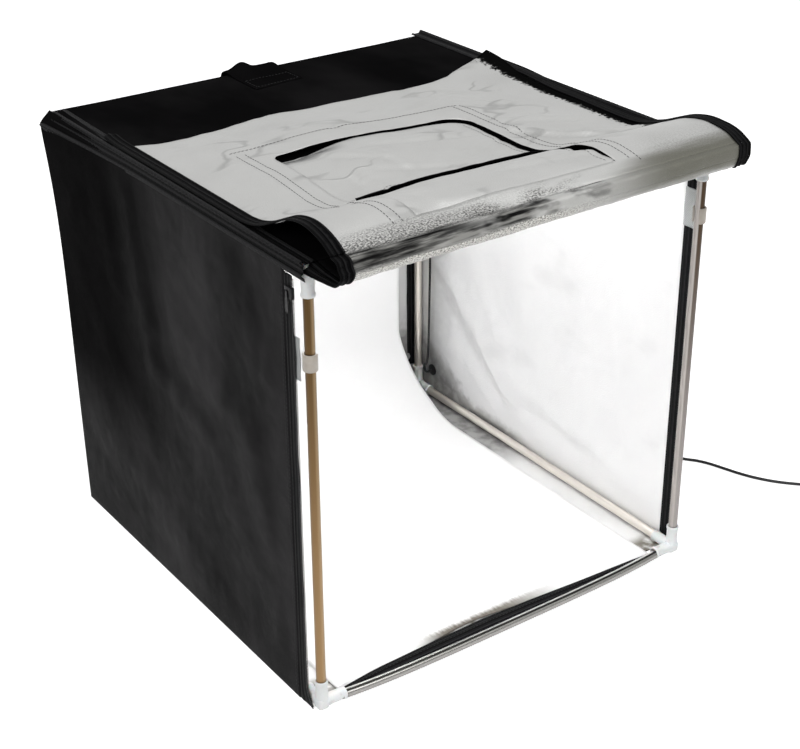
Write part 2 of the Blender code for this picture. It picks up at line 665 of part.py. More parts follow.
def build_door_panel():
    """The door's sheet with its window, and the zip tape along each side."""
    pivot = (0.0, HIGH_HINGE[0], HIGH_HINGE[1])
    front = HIGH_HINGE[0] + SEAM_SLIT
    rows = door_rows(-DOOR_HALF_WIDTH, WINDOW_LEFT_X, 3, front, 5, WINDOW_ROWS // 2)[:-1]
    rows += door_rows(WINDOW_LEFT_X, WINDOW_RIGHT_X, 8, front, 5, WINDOW_ROWS // 2)[:-1]
    rows += door_rows(WINDOW_RIGHT_X, DOOR_HALF_WIDTH, 5, front, 5, WINDOW_ROWS // 2)
    sheet("front_door", rows, CLOTH, SILVER_CLOTH, below=True, pivot=pivot, opening=in_window)
    for side, sign in (("left", -1), ("right", 1)):
        inner = DOOR_HALF_WIDTH + GAP
        outer = DOOR_HALF_WIDTH + DOOR_TAPE_WIDTH
        extra = DOOR_TAPE_EXTRA if sign < 0 else GAP
        end = door_far_edge(sign * DOOR_HALF_WIDTH) + extra
        places = steps_between(front, WINDOW_REAR_Y, 2 * WINDOW_ROWS)[:-1] + steps_between(WINDOW_REAR_Y, end, 4)
        lines = [[(sign * x, y, door_height(sign * DOOR_HALF_WIDTH, y)) for y in places] for x in (inner, outer)]
        if sign < 0:
            lines.reverse()
        sheet(f"door_zip_tape_{side}", lines, CLOTH, BLACK_TAPE, below=True, pivot=pivot)


def build_window_covers():
    """Two cloth covers that close the window, each sewn on along its left edge."""
    spans = {
        "front": (WINDOW_FRONT_Y, WINDOW_SPLIT_Y),
        "rear": (WINDOW_SPLIT_Y, WINDOW_REAR_Y),
    }
    for place, (low, high) in spans.items():
        front = low + WINDOW_SLIT
        rear = high - WINDOW_SLIT
        left = WINDOW_LEFT_X + WINDOW_SLIT / 2
        right = WINDOW_RIGHT_X - WINDOW_SLIT
        rows = []
        for x in steps_between(left, right, 6):
            rows.append([(x, y, door_height(x, y)) for y in steps_between(front, rear, WINDOW_ROWS // 2)])
        crest = max(point[2] for row in rows for point in row)
        sheet(f"window_cover_{place}", rows, CLOTH, SILVER_CLOTH, below=True,
              pivot=(WINDOW_LEFT_X, (front + rear) / 2, crest))


def build_sliders():
    """A zip slider hooked round each wall's zip coil, with its pull hanging from it."""
    edge = WALL_FRONT_Y - GAP - TAPE_WIDTH
    coil_middle = WALL_INNER_X + CLOTH / 2
    face = coil_middle + ZIP_COIL_RADIUS + GAP
    for side, sign in (("left", -1), ("right", 1)):
        front = edge - GAP
        hook = [
            (sign * face, edge + SLIDER_DEPTH), (sign * face, front), (sign * coil_middle, front),
            (sign * coil_middle, front - SLIDER_WALL), (sign * (face + SLIDER_WALL), front - SLIDER_WALL),
            (sign * (face + SLIDER_WALL), edge + SLIDER_DEPTH),
        ]
        prism(f"{side}_zip_slider", hook, "Z", SLIDER_TOP_Z - SLIDER_HEIGHT, SLIDER_TOP_Z, ZIP_METAL,
              pivot=(sign * coil_middle, edge, SLIDER_TOP_Z))
        hinge_x = face + SLIDER_WALL + GAP
        hinge_z = SLIDER_TOP_Z - SLIDER_HEIGHT / 3
        middle = edge + SLIDER_DEPTH / 2
        across = sorted((sign * hinge_x, sign * (hinge_x + PULL_THICKNESS)))
        outline = [
            (middle - PULL_WIDTH / 2, hinge_z - PULL_LENGTH), (middle + PULL_WIDTH / 2, hinge_z - PULL_LENGTH),
            (middle + PULL_WIDTH / 3, hinge_z), (middle - PULL_WIDTH / 3, hinge_z),
        ]
        prism(f"{side}_zip_pull", outline, "X", across[0], across[1], ZIP_METAL,
              pivot=(sign * hinge_x, middle, hinge_z))


# Backdrop


def build_backdrop():
    """One white sheet from the rear rail down and forward over the floor, and the sleeve that hangs it."""
    half = BACKDROP_WIDTH / 2
    low = CLOTH + GAP
    centre = (BACKDROP_BACK_Y - BACKDROP_RADIUS, low + BACKDROP_RADIUS)
    path = [(BACKDROP_FRONT_Y, low)] + arc(centre, BACKDROP_RADIUS, -90.0, 0.0, 12)
    path.append((BACKDROP_BACK_Y, BACKDROP_TOP_Z))
    rows = [[(x, y, z) for y, z in path] for x in (-half, 0.0, half)]
    sheet("backdrop", rows, BACKDROP_THICKNESS, WHITE_SHEET, below=False)
    rail = (POST_Y, RAIL_HIGH_Z)
    inner = TUBE_RADIUS + GAP
    outer = inner + SLEEVE_THICKNESS
    back = BACKDROP_BACK_Y + GAP
    sleeve = arc(rail, inner, 190.0, -60.0, 10) + arc(rail, outer, -60.0, 170.0, 10)
    sleeve += [(back, BACKDROP_TOP_Z), (back, BACKDROP_TOP_Z - SLEEVE_OVERLAP),
               (back + SLEEVE_THICKNESS, BACKDROP_TOP_Z - SLEEVE_OVERLAP),
               (back + SLEEVE_THICKNESS, BACKDROP_TOP_Z)]
    width = half - SLEEVE_SHORTER
    prism("backdrop_sleeve", sleeve, "X", -width, width, WHITE_SHEET)



# Light bars


def build_light_bar(place, y):
    """Channel with a hook at each end that slides on its side rail, light strip and diffuser."""
    half = POST_X - BAR_SIDE_GAP
    top = BAR_TOP_Z
    low = top - BAR_HEIGHT
    side = BAR_WIDTH / 2
    channel = [
        (y - side, low), (y - side, top), (y + side, top), (y + side, low), (y + side - BAR_WALL, low),
        (y + side - BAR_WALL, top - BAR_WALL), (y - side + BAR_WALL, top - BAR_WALL), (y - side + BAR_WALL, low),
    ]
    bar = prism(f"light_bar_{place}", channel, "X", -half, half, BAR_ALUMINIUM)
    inner = TUBE_RADIUS + GAP
    outer = inner + HOOK_WALL
    for side_name, sign in (("left", -1), ("right", 1)):
        rail = (POST_X, RAIL_HIGH_Z)
        outline = [(half - HOOK_PLATE, low), (half, low), (half, RAIL_HIGH_Z - outer)]
        outline += arc(rail, inner, 205.0, -20.0, 9) + arc(rail, outer, -20.0, 170.0, 9)
        outline.append((half - HOOK_PLATE, RAIL_HIGH_Z))
        hook = prism(f"hook_{place}_{side_name}", [(sign * x, z) for x, z in outline], "Y",
                     y - HOOK_WIDTH / 2, y + HOOK_WIDTH / 2, BAR_ALUMINIUM)
        combine(bar, hook, "UNION")
    fit = side - BAR_WALL - GAP
    inset = half - HOOK_PLATE - GAP
    box(f"light_diffuser_{place}", (-inset, y - fit, low), (inset, y + fit, low + DIFFUSER_THICKNESS),
        DIFFUSER_PLASTIC)
    board_top = top - BAR_WALL - GAP
    board_low = board_top - BOARD_THICKNESS
    strip = [(inset, board_top), (-inset, board_top), (-inset, board_low)]
    pitch = 2 * inset / CHIP_COUNT
    for chip in range(CHIP_COUNT):
        middle = -inset + pitch * (2 * chip + 1) / 2
        strip += [(middle - CHIP_LENGTH / 2, board_low), (middle - CHIP_LENGTH / 2, board_low - CHIP_HEIGHT),
                  (middle + CHIP_LENGTH / 2, board_low - CHIP_HEIGHT), (middle + CHIP_LENGTH / 2, board_low)]
    strip.append((inset, board_low))
    prism(f"light_strip_{place}", strip, "Y", y - BOARD_WIDTH / 2, y + BOARD_WIDTH / 2, BOARD_WHITE)


def build_lead():
    """Lead from the grommet up the rear corner to both bars, with a branch behind the rear bar."""
    low = BAR_TOP_Z - BAR_HEIGHT - LEAD_DIAMETER
    x = BACKDROP_WIDTH / 2 - BAR_WIDTH
    sag = BAR_HEIGHT
    bars = [BAR_FRONT_Y + BAR_WIDTH / 2 + GAP, BAR_REAR_Y + BAR_WIDTH / 2 + GAP]
    middle = BAR_TOP_Z - BAR_HEIGHT / 2
    fork = (x + BAR_WIDTH / 2, bars[1] + 3 * sag, middle - sag)
    grommet = WALL_INNER_X - GROMMET_FLANGE - 2 * GAP
    main = [
        (x, bars[1], middle), (x, bars[1] + sag, middle - sag / 4), fork,
        (LEAD_SIDE_X - LEAD_DIAMETER, GROMMET_Y - sag, middle - 2 * sag),
        (LEAD_SIDE_X, GROMMET_Y, middle - 5 * sag), (LEAD_SIDE_X, GROMMET_Y, (middle + GROMMET_Z) / 2),
        (LEAD_SIDE_X - LEAD_DIAMETER, GROMMET_Y, GROMMET_Z + 3 * sag),
        (LEAD_SIDE_X - 3 * LEAD_DIAMETER, GROMMET_Y, GROMMET_Z + sag),
        (LEAD_SIDE_X - 2 * LEAD_DIAMETER, GROMMET_Y, GROMMET_Z), (grommet, GROMMET_Y, GROMMET_Z),
    ]
    under = BAR_REAR_Y
    branch = [
        (x, bars[0], middle), (x, bars[0] + sag, middle - sag / 4), (x, (bars[0] + under) / 2, low - sag),
        (x + LEAD_DIAMETER, under - sag, low - sag / 3), (x + LEAD_DIAMETER, under + sag, low - sag / 3), fork,
    ]
    lead = cord_tube("light_lead", smooth_curve(main, 4), LEAD_DIAMETER, 1, BLACK_RUBBER)
    tail = cord_tube("light_lead_branch", smooth_curve(branch, 4), LEAD_DIAMETER, 1, BLACK_RUBBER)
    meshes = [bpy.data.meshes.new_from_object(item) for item in (lead, tail)]
    for item in (lead, tail):
        bpy.data.objects.remove(item, do_unlink=True)
    lead = add_object("light_lead", meshes[0], BLACK_RUBBER)
    combine(lead, add_object("light_lead_branch", meshes[1], BLACK_RUBBER), "UNION")


# Power cord


def build_grommet():
    """Grommet through the right wall with a tapered strain relief outside."""
    bore = LEAD_RADIUS
    inside = -CLOTH - GAP - GROMMET_FLANGE
    profile = [
        (inside, bore), (inside, GROMMET_FLANGE_RADIUS), (-CLOTH - GAP, GROMMET_FLANGE_RADIUS),
        (-CLOTH - GAP, GROMMET_HOLE_RADIUS), (GAP, GROMMET_HOLE_RADIUS), (GAP, GROMMET_FLANGE_RADIUS),
        (GAP + GROMMET_FLANGE, GROMMET_FLANGE_RADIUS), (GAP + 2 * GROMMET_FLANGE, GROMMET_HOLE_RADIUS),
        (GROMMET_FLANGE + RELIEF_LENGTH, RELIEF_TIP_RADIUS), (GROMMET_FLANGE + RELIEF_LENGTH, bore),
    ]
    placing = Matrix.Translation((WALL_OUTER_X, GROMMET_Y, GROMMET_Z))
    turned("cord_grommet", profile, SOCKET_SIDES, placing, BLACK_RUBBER)


def coil_layers():
    """Heights of the coil's two layers; the lower one lies on its tie."""
    low = TIE_THICKNESS + GAP + CORD_RADIUS
    return low, low + COIL_STEP


def coil_points():
    """Points along the coil: in one layer, up, and out again, with a straight end of one diameter."""
    low, high = coil_layers()
    half_turns = COIL_TURNS / 2
    inner = COIL_MEAN_RADIUS - COIL_STEP * half_turns / 2
    found = []
    count = round(COIL_TURNS * COIL_POINTS_PER_TURN)
    for step in range(count + 1):
        turn = COIL_TURNS * step / count
        radius = inner + COIL_STEP * abs(turn - half_turns)
        climb = min(1.0, max(0.0, (turn - half_turns) * 2 + 0.5))
        height = low + (high - low) * climb ** 2 * (3 - 2 * climb)
        angle = 2 * math.pi * turn - math.pi / 2
        found.append((COIL_CENTRE[0] + radius * math.cos(angle), COIL_CENTRE[1] + radius * math.sin(angle), height))
    first, last = found[0], found[-1]
    found.insert(0, (first[0] - CORD_DIAMETER, first[1], first[2]))
    found.append((last[0], last[1] + CORD_DIAMETER, last[2]))
    return found


def least_gap(points, skip):
    """Least distance between stretches of the coil that are not neighbours along it, less the diameter."""
    places = [Vector(point) for point in points]
    least = math.inf
    for index, place in enumerate(places):
        for other in places[index + skip:]:
            least = min(least, (place - other).length)
    return least - CORD_DIAMETER


def line_length(points):
    """Length of a line of points."""
    return sum((Vector(a) - Vector(b)).length for a, b in zip(points, points[1:]))


def build_cord():
    """Cord from the strain relief down to the ground and forward, then wound up, and its plug."""
    tip = WALL_OUTER_X + GROMMET_FLANGE + RELIEF_LENGTH + GAP
    wound = coil_points()
    route = [
        (tip, GROMMET_Y, GROMMET_Z), (tip + CORD_DIAMETER, GROMMET_Y, GROMMET_Z), (0.232, 0.179, 0.0275),
        (0.242, 0.176, 0.0175), (0.251, 0.171, 0.0070), (0.261, 0.163, 0.0019), (0.272, 0.150, 0.0015),
        (0.284, 0.123, 0.0015), (0.292, 0.088, 0.0015), (0.297, 0.048, 0.0015), (0.301, 0.006, 0.0015),
        (0.306, -0.034, 0.0015), (0.313, -0.066, 0.0015), (0.321, -0.085, 0.0015), (0.330, -0.097, 0.0015),
        (0.3365, -0.110, 0.0015), (0.3415, -0.125, 0.0015), (0.347, -0.141, 0.0015), (0.355, -0.158, 0.0015),
        (0.368, -0.177, 0.0015), (0.388, -0.197, 0.0016), (0.410, -0.2095, 0.0020),
        (wound[0][0] - CORD_DIAMETER, wound[0][1], wound[0][2]), (wound[0][0] - GAP, wound[0][1], wound[0][2]),
    ]
    free = smooth_curve(route, 3)
    cord_tube("power_cord", free, CORD_DIAMETER, 2, BLACK_RUBBER)
    cord_tube("cord_coil", wound, CORD_DIAMETER, 1, BLACK_RUBBER)
    print("cord: free", round(line_length(free), 4), "wound", round(line_length(wound), 4))
    print("coil: least gap to itself", round(least_gap(wound, COIL_POINTS_PER_TURN // 2), 5))


def build_tie():
    """Band round the coil's rear side that keeps the turns together."""
    low, high = coil_layers()
    spread = COIL_STEP * COIL_TURNS / 4 + CORD_RADIUS + GAP
    middle = COIL_CENTRE[1] + COIL_MEAN_RADIUS
    inner = rectangle((middle - spread, low - CORD_RADIUS - GAP), (middle + spread, high + CORD_RADIUS + GAP))
    outer = rectangle((middle - spread - TIE_THICKNESS, 0.0),
                      (middle + spread + TIE_THICKNESS, high + CORD_RADIUS + GAP + TIE_THICKNESS))
    prism("cord_tie", outer, "X", COIL_CENTRE[0] - TIE_WIDTH / 2, COIL_CENTRE[0] + TIE_WIDTH / 2, BLACK_TAPE,
          hole=inner)


def build_plug():
    """Round low-voltage plug on the coil's outer end, lying beside the coil."""
    end = coil_points()[-1]
    grip = GAP + PLUG_BOOT_LENGTH
    face = grip + PLUG_GRIP_LENGTH
    tip = face + PLUG_BARREL_LENGTH
    profile = [
        (GAP, PLUG_BORE_RADIUS), (GAP, CORD_RADIUS), (grip, PLUG_BOOT_RADIUS),
        (grip, PLUG_GRIP_RADIUS), (face, PLUG_GRIP_RADIUS), (face, PLUG_BARREL_RADIUS),
        (tip, PLUG_BARREL_RADIUS), (tip, PLUG_BORE_RADIUS),
    ]
    placing = Matrix.Translation(end) @ Matrix.Rotation(math.pi / 2, 4, "Z")
    turned("cord_plug", profile, TUBE_SIDES, placing, BLACK_RUBBER)


build_frame()
build_corners()
build_post_clips()
build_walls()
build_roof_and_floor()
build_cover_tapes()
build_bindings()
build_handle()
build_door_folds()
build_door_panel()
build_window_covers()
build_sliders()
build_backdrop()
build_light_bar("front", BAR_FRONT_Y)
build_light_bar("rear", BAR_REAR_Y)
build_lead()
build_grommet()
build_cord()
build_tie()
build_plug()
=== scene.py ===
"""Folding light tent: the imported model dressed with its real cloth, zips, tubes, lamps and cord."""
import math

import bmesh
import bpy
from mathutils import Matrix, Vector, noise
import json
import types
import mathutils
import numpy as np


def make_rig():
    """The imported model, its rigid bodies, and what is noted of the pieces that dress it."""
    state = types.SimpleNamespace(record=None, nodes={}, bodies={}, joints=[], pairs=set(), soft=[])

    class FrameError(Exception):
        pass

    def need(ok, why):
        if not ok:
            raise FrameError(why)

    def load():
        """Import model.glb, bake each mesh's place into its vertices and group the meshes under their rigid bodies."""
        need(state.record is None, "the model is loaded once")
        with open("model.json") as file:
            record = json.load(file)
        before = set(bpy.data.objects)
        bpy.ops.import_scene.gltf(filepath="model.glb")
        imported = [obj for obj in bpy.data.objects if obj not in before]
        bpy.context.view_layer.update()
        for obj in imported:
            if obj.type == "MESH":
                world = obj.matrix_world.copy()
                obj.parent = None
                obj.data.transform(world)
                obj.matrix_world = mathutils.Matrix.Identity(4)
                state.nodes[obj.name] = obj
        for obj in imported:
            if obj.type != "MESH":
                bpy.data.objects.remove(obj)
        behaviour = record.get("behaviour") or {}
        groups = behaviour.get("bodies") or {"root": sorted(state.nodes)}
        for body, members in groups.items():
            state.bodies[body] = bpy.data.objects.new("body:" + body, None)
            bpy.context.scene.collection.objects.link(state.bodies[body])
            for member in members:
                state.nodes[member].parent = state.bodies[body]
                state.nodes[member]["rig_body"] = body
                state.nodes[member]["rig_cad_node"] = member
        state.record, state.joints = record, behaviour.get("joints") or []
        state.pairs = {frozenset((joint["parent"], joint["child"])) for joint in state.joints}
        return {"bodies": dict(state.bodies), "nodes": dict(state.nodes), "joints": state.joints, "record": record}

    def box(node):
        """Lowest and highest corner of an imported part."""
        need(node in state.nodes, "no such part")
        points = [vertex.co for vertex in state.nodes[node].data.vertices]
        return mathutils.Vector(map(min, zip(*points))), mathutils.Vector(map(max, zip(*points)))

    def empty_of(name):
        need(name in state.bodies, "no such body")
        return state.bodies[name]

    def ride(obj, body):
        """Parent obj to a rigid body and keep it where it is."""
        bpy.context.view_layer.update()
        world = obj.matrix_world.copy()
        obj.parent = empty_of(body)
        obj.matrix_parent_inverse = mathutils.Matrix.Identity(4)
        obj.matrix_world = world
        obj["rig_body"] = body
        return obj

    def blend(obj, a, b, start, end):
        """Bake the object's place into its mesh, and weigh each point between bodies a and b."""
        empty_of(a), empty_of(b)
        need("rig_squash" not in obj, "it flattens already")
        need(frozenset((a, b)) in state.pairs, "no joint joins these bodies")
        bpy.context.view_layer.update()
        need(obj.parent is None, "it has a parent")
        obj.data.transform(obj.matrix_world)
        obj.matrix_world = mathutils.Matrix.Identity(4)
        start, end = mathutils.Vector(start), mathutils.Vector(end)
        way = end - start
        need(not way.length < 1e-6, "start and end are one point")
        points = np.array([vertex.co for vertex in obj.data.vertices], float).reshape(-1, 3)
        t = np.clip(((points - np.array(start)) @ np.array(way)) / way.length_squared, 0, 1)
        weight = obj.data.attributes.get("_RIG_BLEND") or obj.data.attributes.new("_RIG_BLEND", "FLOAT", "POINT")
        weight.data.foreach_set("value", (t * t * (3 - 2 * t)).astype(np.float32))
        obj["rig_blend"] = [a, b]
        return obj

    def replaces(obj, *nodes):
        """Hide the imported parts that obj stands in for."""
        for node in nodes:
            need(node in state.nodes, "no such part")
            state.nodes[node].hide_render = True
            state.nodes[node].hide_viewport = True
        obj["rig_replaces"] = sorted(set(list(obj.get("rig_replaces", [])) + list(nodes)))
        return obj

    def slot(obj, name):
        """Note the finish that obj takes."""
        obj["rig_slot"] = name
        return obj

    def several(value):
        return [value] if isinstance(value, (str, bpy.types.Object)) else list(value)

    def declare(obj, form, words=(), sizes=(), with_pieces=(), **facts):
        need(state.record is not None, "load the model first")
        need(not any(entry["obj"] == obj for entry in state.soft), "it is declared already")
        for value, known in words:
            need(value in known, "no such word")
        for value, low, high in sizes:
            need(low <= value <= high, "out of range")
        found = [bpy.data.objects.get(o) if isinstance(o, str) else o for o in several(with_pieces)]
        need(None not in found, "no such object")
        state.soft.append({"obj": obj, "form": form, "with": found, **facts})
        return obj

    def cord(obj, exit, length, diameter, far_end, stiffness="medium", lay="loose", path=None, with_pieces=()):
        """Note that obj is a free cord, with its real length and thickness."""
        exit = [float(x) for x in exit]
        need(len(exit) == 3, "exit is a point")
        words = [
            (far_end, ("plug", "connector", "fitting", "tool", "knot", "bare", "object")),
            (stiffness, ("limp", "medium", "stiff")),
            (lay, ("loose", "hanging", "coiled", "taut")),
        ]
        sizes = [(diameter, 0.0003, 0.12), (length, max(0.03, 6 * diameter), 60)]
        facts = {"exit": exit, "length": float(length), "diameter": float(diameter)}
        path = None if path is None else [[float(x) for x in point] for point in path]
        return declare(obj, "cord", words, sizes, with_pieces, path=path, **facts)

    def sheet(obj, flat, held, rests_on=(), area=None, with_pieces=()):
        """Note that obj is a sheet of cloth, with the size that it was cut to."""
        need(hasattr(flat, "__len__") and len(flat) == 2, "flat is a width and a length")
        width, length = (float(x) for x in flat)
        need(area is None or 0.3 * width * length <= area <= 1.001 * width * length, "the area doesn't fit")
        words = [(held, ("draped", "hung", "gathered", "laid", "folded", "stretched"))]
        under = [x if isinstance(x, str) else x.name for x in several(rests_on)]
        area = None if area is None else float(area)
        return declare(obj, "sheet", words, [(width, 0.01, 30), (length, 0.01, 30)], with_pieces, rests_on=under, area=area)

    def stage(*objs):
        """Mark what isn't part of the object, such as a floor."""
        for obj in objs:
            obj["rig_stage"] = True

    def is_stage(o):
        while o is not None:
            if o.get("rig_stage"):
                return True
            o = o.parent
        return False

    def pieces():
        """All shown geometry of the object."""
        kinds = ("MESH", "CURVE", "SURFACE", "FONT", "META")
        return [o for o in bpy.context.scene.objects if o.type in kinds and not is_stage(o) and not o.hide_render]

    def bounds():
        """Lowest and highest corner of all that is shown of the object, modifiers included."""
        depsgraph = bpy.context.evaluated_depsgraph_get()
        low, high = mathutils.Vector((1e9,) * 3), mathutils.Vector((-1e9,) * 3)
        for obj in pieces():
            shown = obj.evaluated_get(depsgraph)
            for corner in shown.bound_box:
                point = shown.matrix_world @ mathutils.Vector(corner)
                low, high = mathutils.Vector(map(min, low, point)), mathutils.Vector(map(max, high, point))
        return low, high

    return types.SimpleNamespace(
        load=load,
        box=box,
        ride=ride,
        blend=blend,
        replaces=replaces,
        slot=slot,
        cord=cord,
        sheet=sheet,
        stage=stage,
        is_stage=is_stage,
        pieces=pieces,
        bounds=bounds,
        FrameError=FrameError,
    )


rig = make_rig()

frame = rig.load()
solid_box = [list(corner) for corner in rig.bounds()]


# Viewpoint
# A long lens at the front left, well above the tent. Colours are shown as they are, without a film look.

eye = bpy.data.cameras.new("eye")
eye.lens = 74.04
eye.sensor_width = 36.0
eye.clip_start = 0.05
eye.clip_end = 20.0
viewer = bpy.data.objects.new("viewer", eye)
eye_right = Vector((0.81376, -0.58119, -0.00487))
eye_up = Vector((0.27344, 0.37545, 0.88559))
viewer.matrix_world = Matrix.Translation((-0.75383, -1.09999, 0.86077)) @ Matrix(
    (eye_right, eye_up, eye_right.cross(eye_up))).transposed().to_4x4()
bpy.context.scene.collection.objects.link(viewer)
bpy.context.scene.camera = viewer
bpy.context.scene.view_settings.view_transform = "Standard"


# Power cord
# A round, soft two-core cord in black vinyl. It leaves the right wall low at the rear through a rubber
# grommet, runs forward on the table and is wound into a small coil under a strap, with its plug beside it.


class Reading:
    """A value that changes over a surface. Arithmetic with it adds Math nodes to its finish."""

    def __init__(self, finish, socket):
        self.finish = finish
        self.socket = socket

    def worked(self, operation, *terms):
        """Add one Math node over the given terms."""
        return self.finish.add("ShaderNodeMath", {"operation": operation}, dict(enumerate(terms)))

    def __add__(self, other):
        return self.worked("ADD", self, other)

    def __sub__(self, other):
        return self.worked("SUBTRACT", self, other)

    def __rsub__(self, other):
        return self.worked("SUBTRACT", other, self)

    def __mul__(self, other):
        return self.worked("MULTIPLY", self, other)

    __radd__ = __add__
    __rmul__ = __mul__


def opaque(colour):
    """A colour, or a grey that one number gives, with its alpha."""
    return (colour, colour, colour, 1.0) if isinstance(colour, float) else (*colour, 1.0)


class Finish:
    """One material: its shader, and the nodes that vary it over a surface."""

    def __init__(self, name, colour, roughness, metallic=0.0, specular=0.5):
        self.material = bpy.data.materials.new(name)
        self.material.use_nodes = True
        self.tree = self.material.node_tree
        self.shader = self.tree.nodes["Principled BSDF"]
        self.give("Base Color", opaque(colour))
        self.give("Roughness", roughness)
        self.give("Metallic", metallic)
        self.give("Specular IOR Level", specular)

    def give(self, name, value):
        """Set one of the shader's sockets, or link a reading to it."""
        if isinstance(value, Reading):
            self.tree.links.new(value.socket, self.shader.inputs[name])
        else:
            self.shader.inputs[name].default_value = value

    def add(self, kind, settings, sockets, output=0):
        """Add a node: its settings first, then the values or links of its sockets."""
        node = self.tree.nodes.new(kind)
        for name, value in settings.items():
            setattr(node, name, value)
        for name, value in sockets.items():
            if isinstance(value, Reading):
                self.tree.links.new(value.socket, node.inputs[name])
            else:
                node.inputs[name].default_value = value
        return Reading(self, node.outputs[output])

    def place(self):
        """Place of a point on the object."""
        return self.add("ShaderNodeTexCoord", {}, {}, "Object")

    def cut(self):
        """Place of a point on the flat cut of the cloth, in metres."""
        return self.add("ShaderNodeUVMap", {"uv_map": "cut"}, {})

    def part(self, where, letter):
        """One coordinate of a place."""
        return self.add("ShaderNodeSeparateXYZ", {}, {"Vector": where}, letter)

    def stretched(self, where, across, along=1.0):
        """A place with its first two axes scaled."""
        return self.add("ShaderNodeMapping", {}, {"Vector": where, "Scale": (across, along, 1.0)})

    def grain(self, where, scale, detail=2.0):
        """Soft noise from 0 to 1."""
        return self.add("ShaderNodeTexNoise", {}, {"Vector": where, "Scale": scale, "Detail": detail})

    def rise(self, value, low, high):
        """Smooth step of a value from 0 at low to 1 at high."""
        return self.add("ShaderNodeMapRange", {"interpolation_type": "SMOOTHSTEP"},
                        {"Value": value, "From Min": low, "From Max": high})

    def wave(self, value):
        """Sine of a value."""
        return self.add("ShaderNodeMath", {"operation": "SINE"}, {0: value})

    def tint(self, share, first, second):
        """Colour between two colours or readings of colour."""
        ends = [end if isinstance(end, Reading) else opaque(end) for end in (first, second)]
        return self.add("ShaderNodeMix", {"data_type": "RGBA"}, {"Factor": share, 6: ends[0], 7: ends[1]}, 2)

    def coated(self, colour, *coats):
        """Colour under some coats, each a share and its own colour, and give it to the shader."""
        for share, coat in coats:
            colour = self.tint(share, colour, coat)
        self.give("Base Color", colour)

    def relief(self, height, depth, strength=1.0):
        """Surface normal over a relief of that depth in metres."""
        self.give("Normal", self.add("ShaderNodeBump", {}, {"Height": height, "Distance": depth,
                                                            "Strength": strength}))

    def blacken(self, share, colour):
        """Turn the finish matt black, without any gloss, by a share that varies over it."""
        matt = self.add("ShaderNodeBsdfPrincipled", {}, {
            "Base Color": opaque(colour), "Roughness": 0.9, "Specular IOR Level": 0.0})
        glossy = Reading(self, self.shader.outputs[0])
        mixed = self.add("ShaderNodeMixShader", {}, {0: share, 1: glossy, 2: matt})
        self.tree.links.new(mixed.socket, self.tree.nodes["Material Output"].inputs["Surface"])


def held(*shares):
    """The smallest of some shares, kept between 0 and 1."""
    return max(0.0, min(1.0, *shares))


def eased(share):
    """Smooth step from 0 to 1."""
    share = held(share)
    return share * share * (3 - 2 * share)


def smooth_curve(points, steps):
    """Points along a smooth curve through the given ones, with that many steps for each stretch."""
    places = [Vector(point) for point in points]
    padded = [2 * places[0] - places[1]] + places + [2 * places[-1] - places[-2]]
    found = []
    for index in range(1, len(padded) - 2):
        before, start, end, after = padded[index - 1:index + 3]
        for step in range(steps):
            t = step / steps
            spread = (2 * start + (end - before) * t + (2 * before - 5 * start + 4 * end - after) * t ** 2
                      + (3 * start - before - 3 * end + after) * t ** 3)
            found.append(spread / 2)
    return found + [places[-1]]


def line_length(points):
    """Length of a line of points."""
    return sum((b - a).length for a, b in zip(points, points[1:]))


def round_line(name, points, diameter, finish, rounding=4):
    """A round line along the points, as a curve that isn't in the scene yet."""
    line = bpy.data.curves.new(name, "CURVE")
    line.dimensions = "3D"
    line.bevel_depth = diameter / 2
    line.bevel_resolution = rounding
    line.use_fill_caps = True
    spline = line.splines.new("POLY")
    spline.points.add(len(points) - 1)
    for place, point in zip(spline.points, points):
        place.co = (*point, 1.0)
    line.materials.append(finish.material)
    return bpy.data.objects.new(name, line)


def bring_in(piece, slot, body, replaced=()):
    """Put a piece into the scene, on its body and in the place of its solids."""
    bpy.context.scene.collection.objects.link(piece)
    if body:
        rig.ride(piece, body)
    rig.slot(piece, slot)
    if replaced:
        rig.replaces(piece, *replaced)
    return piece


def add_piece(name, form, finishes, slot, replaced=(), body="tent", sharp=40.0):
    """Turn a finished form into a piece that rides on a body and stands for its solids."""
    mesh = bpy.data.meshes.new(name)
    form.to_mesh(mesh)
    form.free()
    for finish in finishes:
        mesh.materials.append(finish.material)
    mesh.shade_smooth()
    mesh.set_sharp_from_angle(angle=math.radians(sharp))
    return bring_in(bpy.data.objects.new(name, mesh), slot, body, replaced)


def turned_form(profile, placing, steps=32):
    """Spin a profile of (distance along, radius) points about its axis, and put it in its place."""
    form = bmesh.new()
    corners = [form.verts.new((along, radius, 0.0)) for along, radius in profile]
    lines = [form.edges.new(pair) for pair in zip(corners, corners[1:] + corners[:1])]
    bmesh.ops.spin(form, geom=corners + lines, cent=(0, 0, 0), axis=(1, 0, 0), dvec=(0, 0, 0),
                   angle=2 * math.pi, steps=steps, use_merge=True)
    bmesh.ops.remove_doubles(form, verts=form.verts, dist=0.00001)
    bmesh.ops.recalc_face_normals(form, faces=form.faces)
    bmesh.ops.transform(form, matrix=placing, verts=form.verts)
    return form


CORD_DIAMETER = 0.003
COIL_CENTRE = (0.432, -0.190)
COIL_MEAN_RADIUS = 0.0165
COIL_TURNS = 6.25
COIL_STEP = 0.00345
COIL_LOW = 0.0026
GROMMET = (0.2009, 0.180, 0.030)

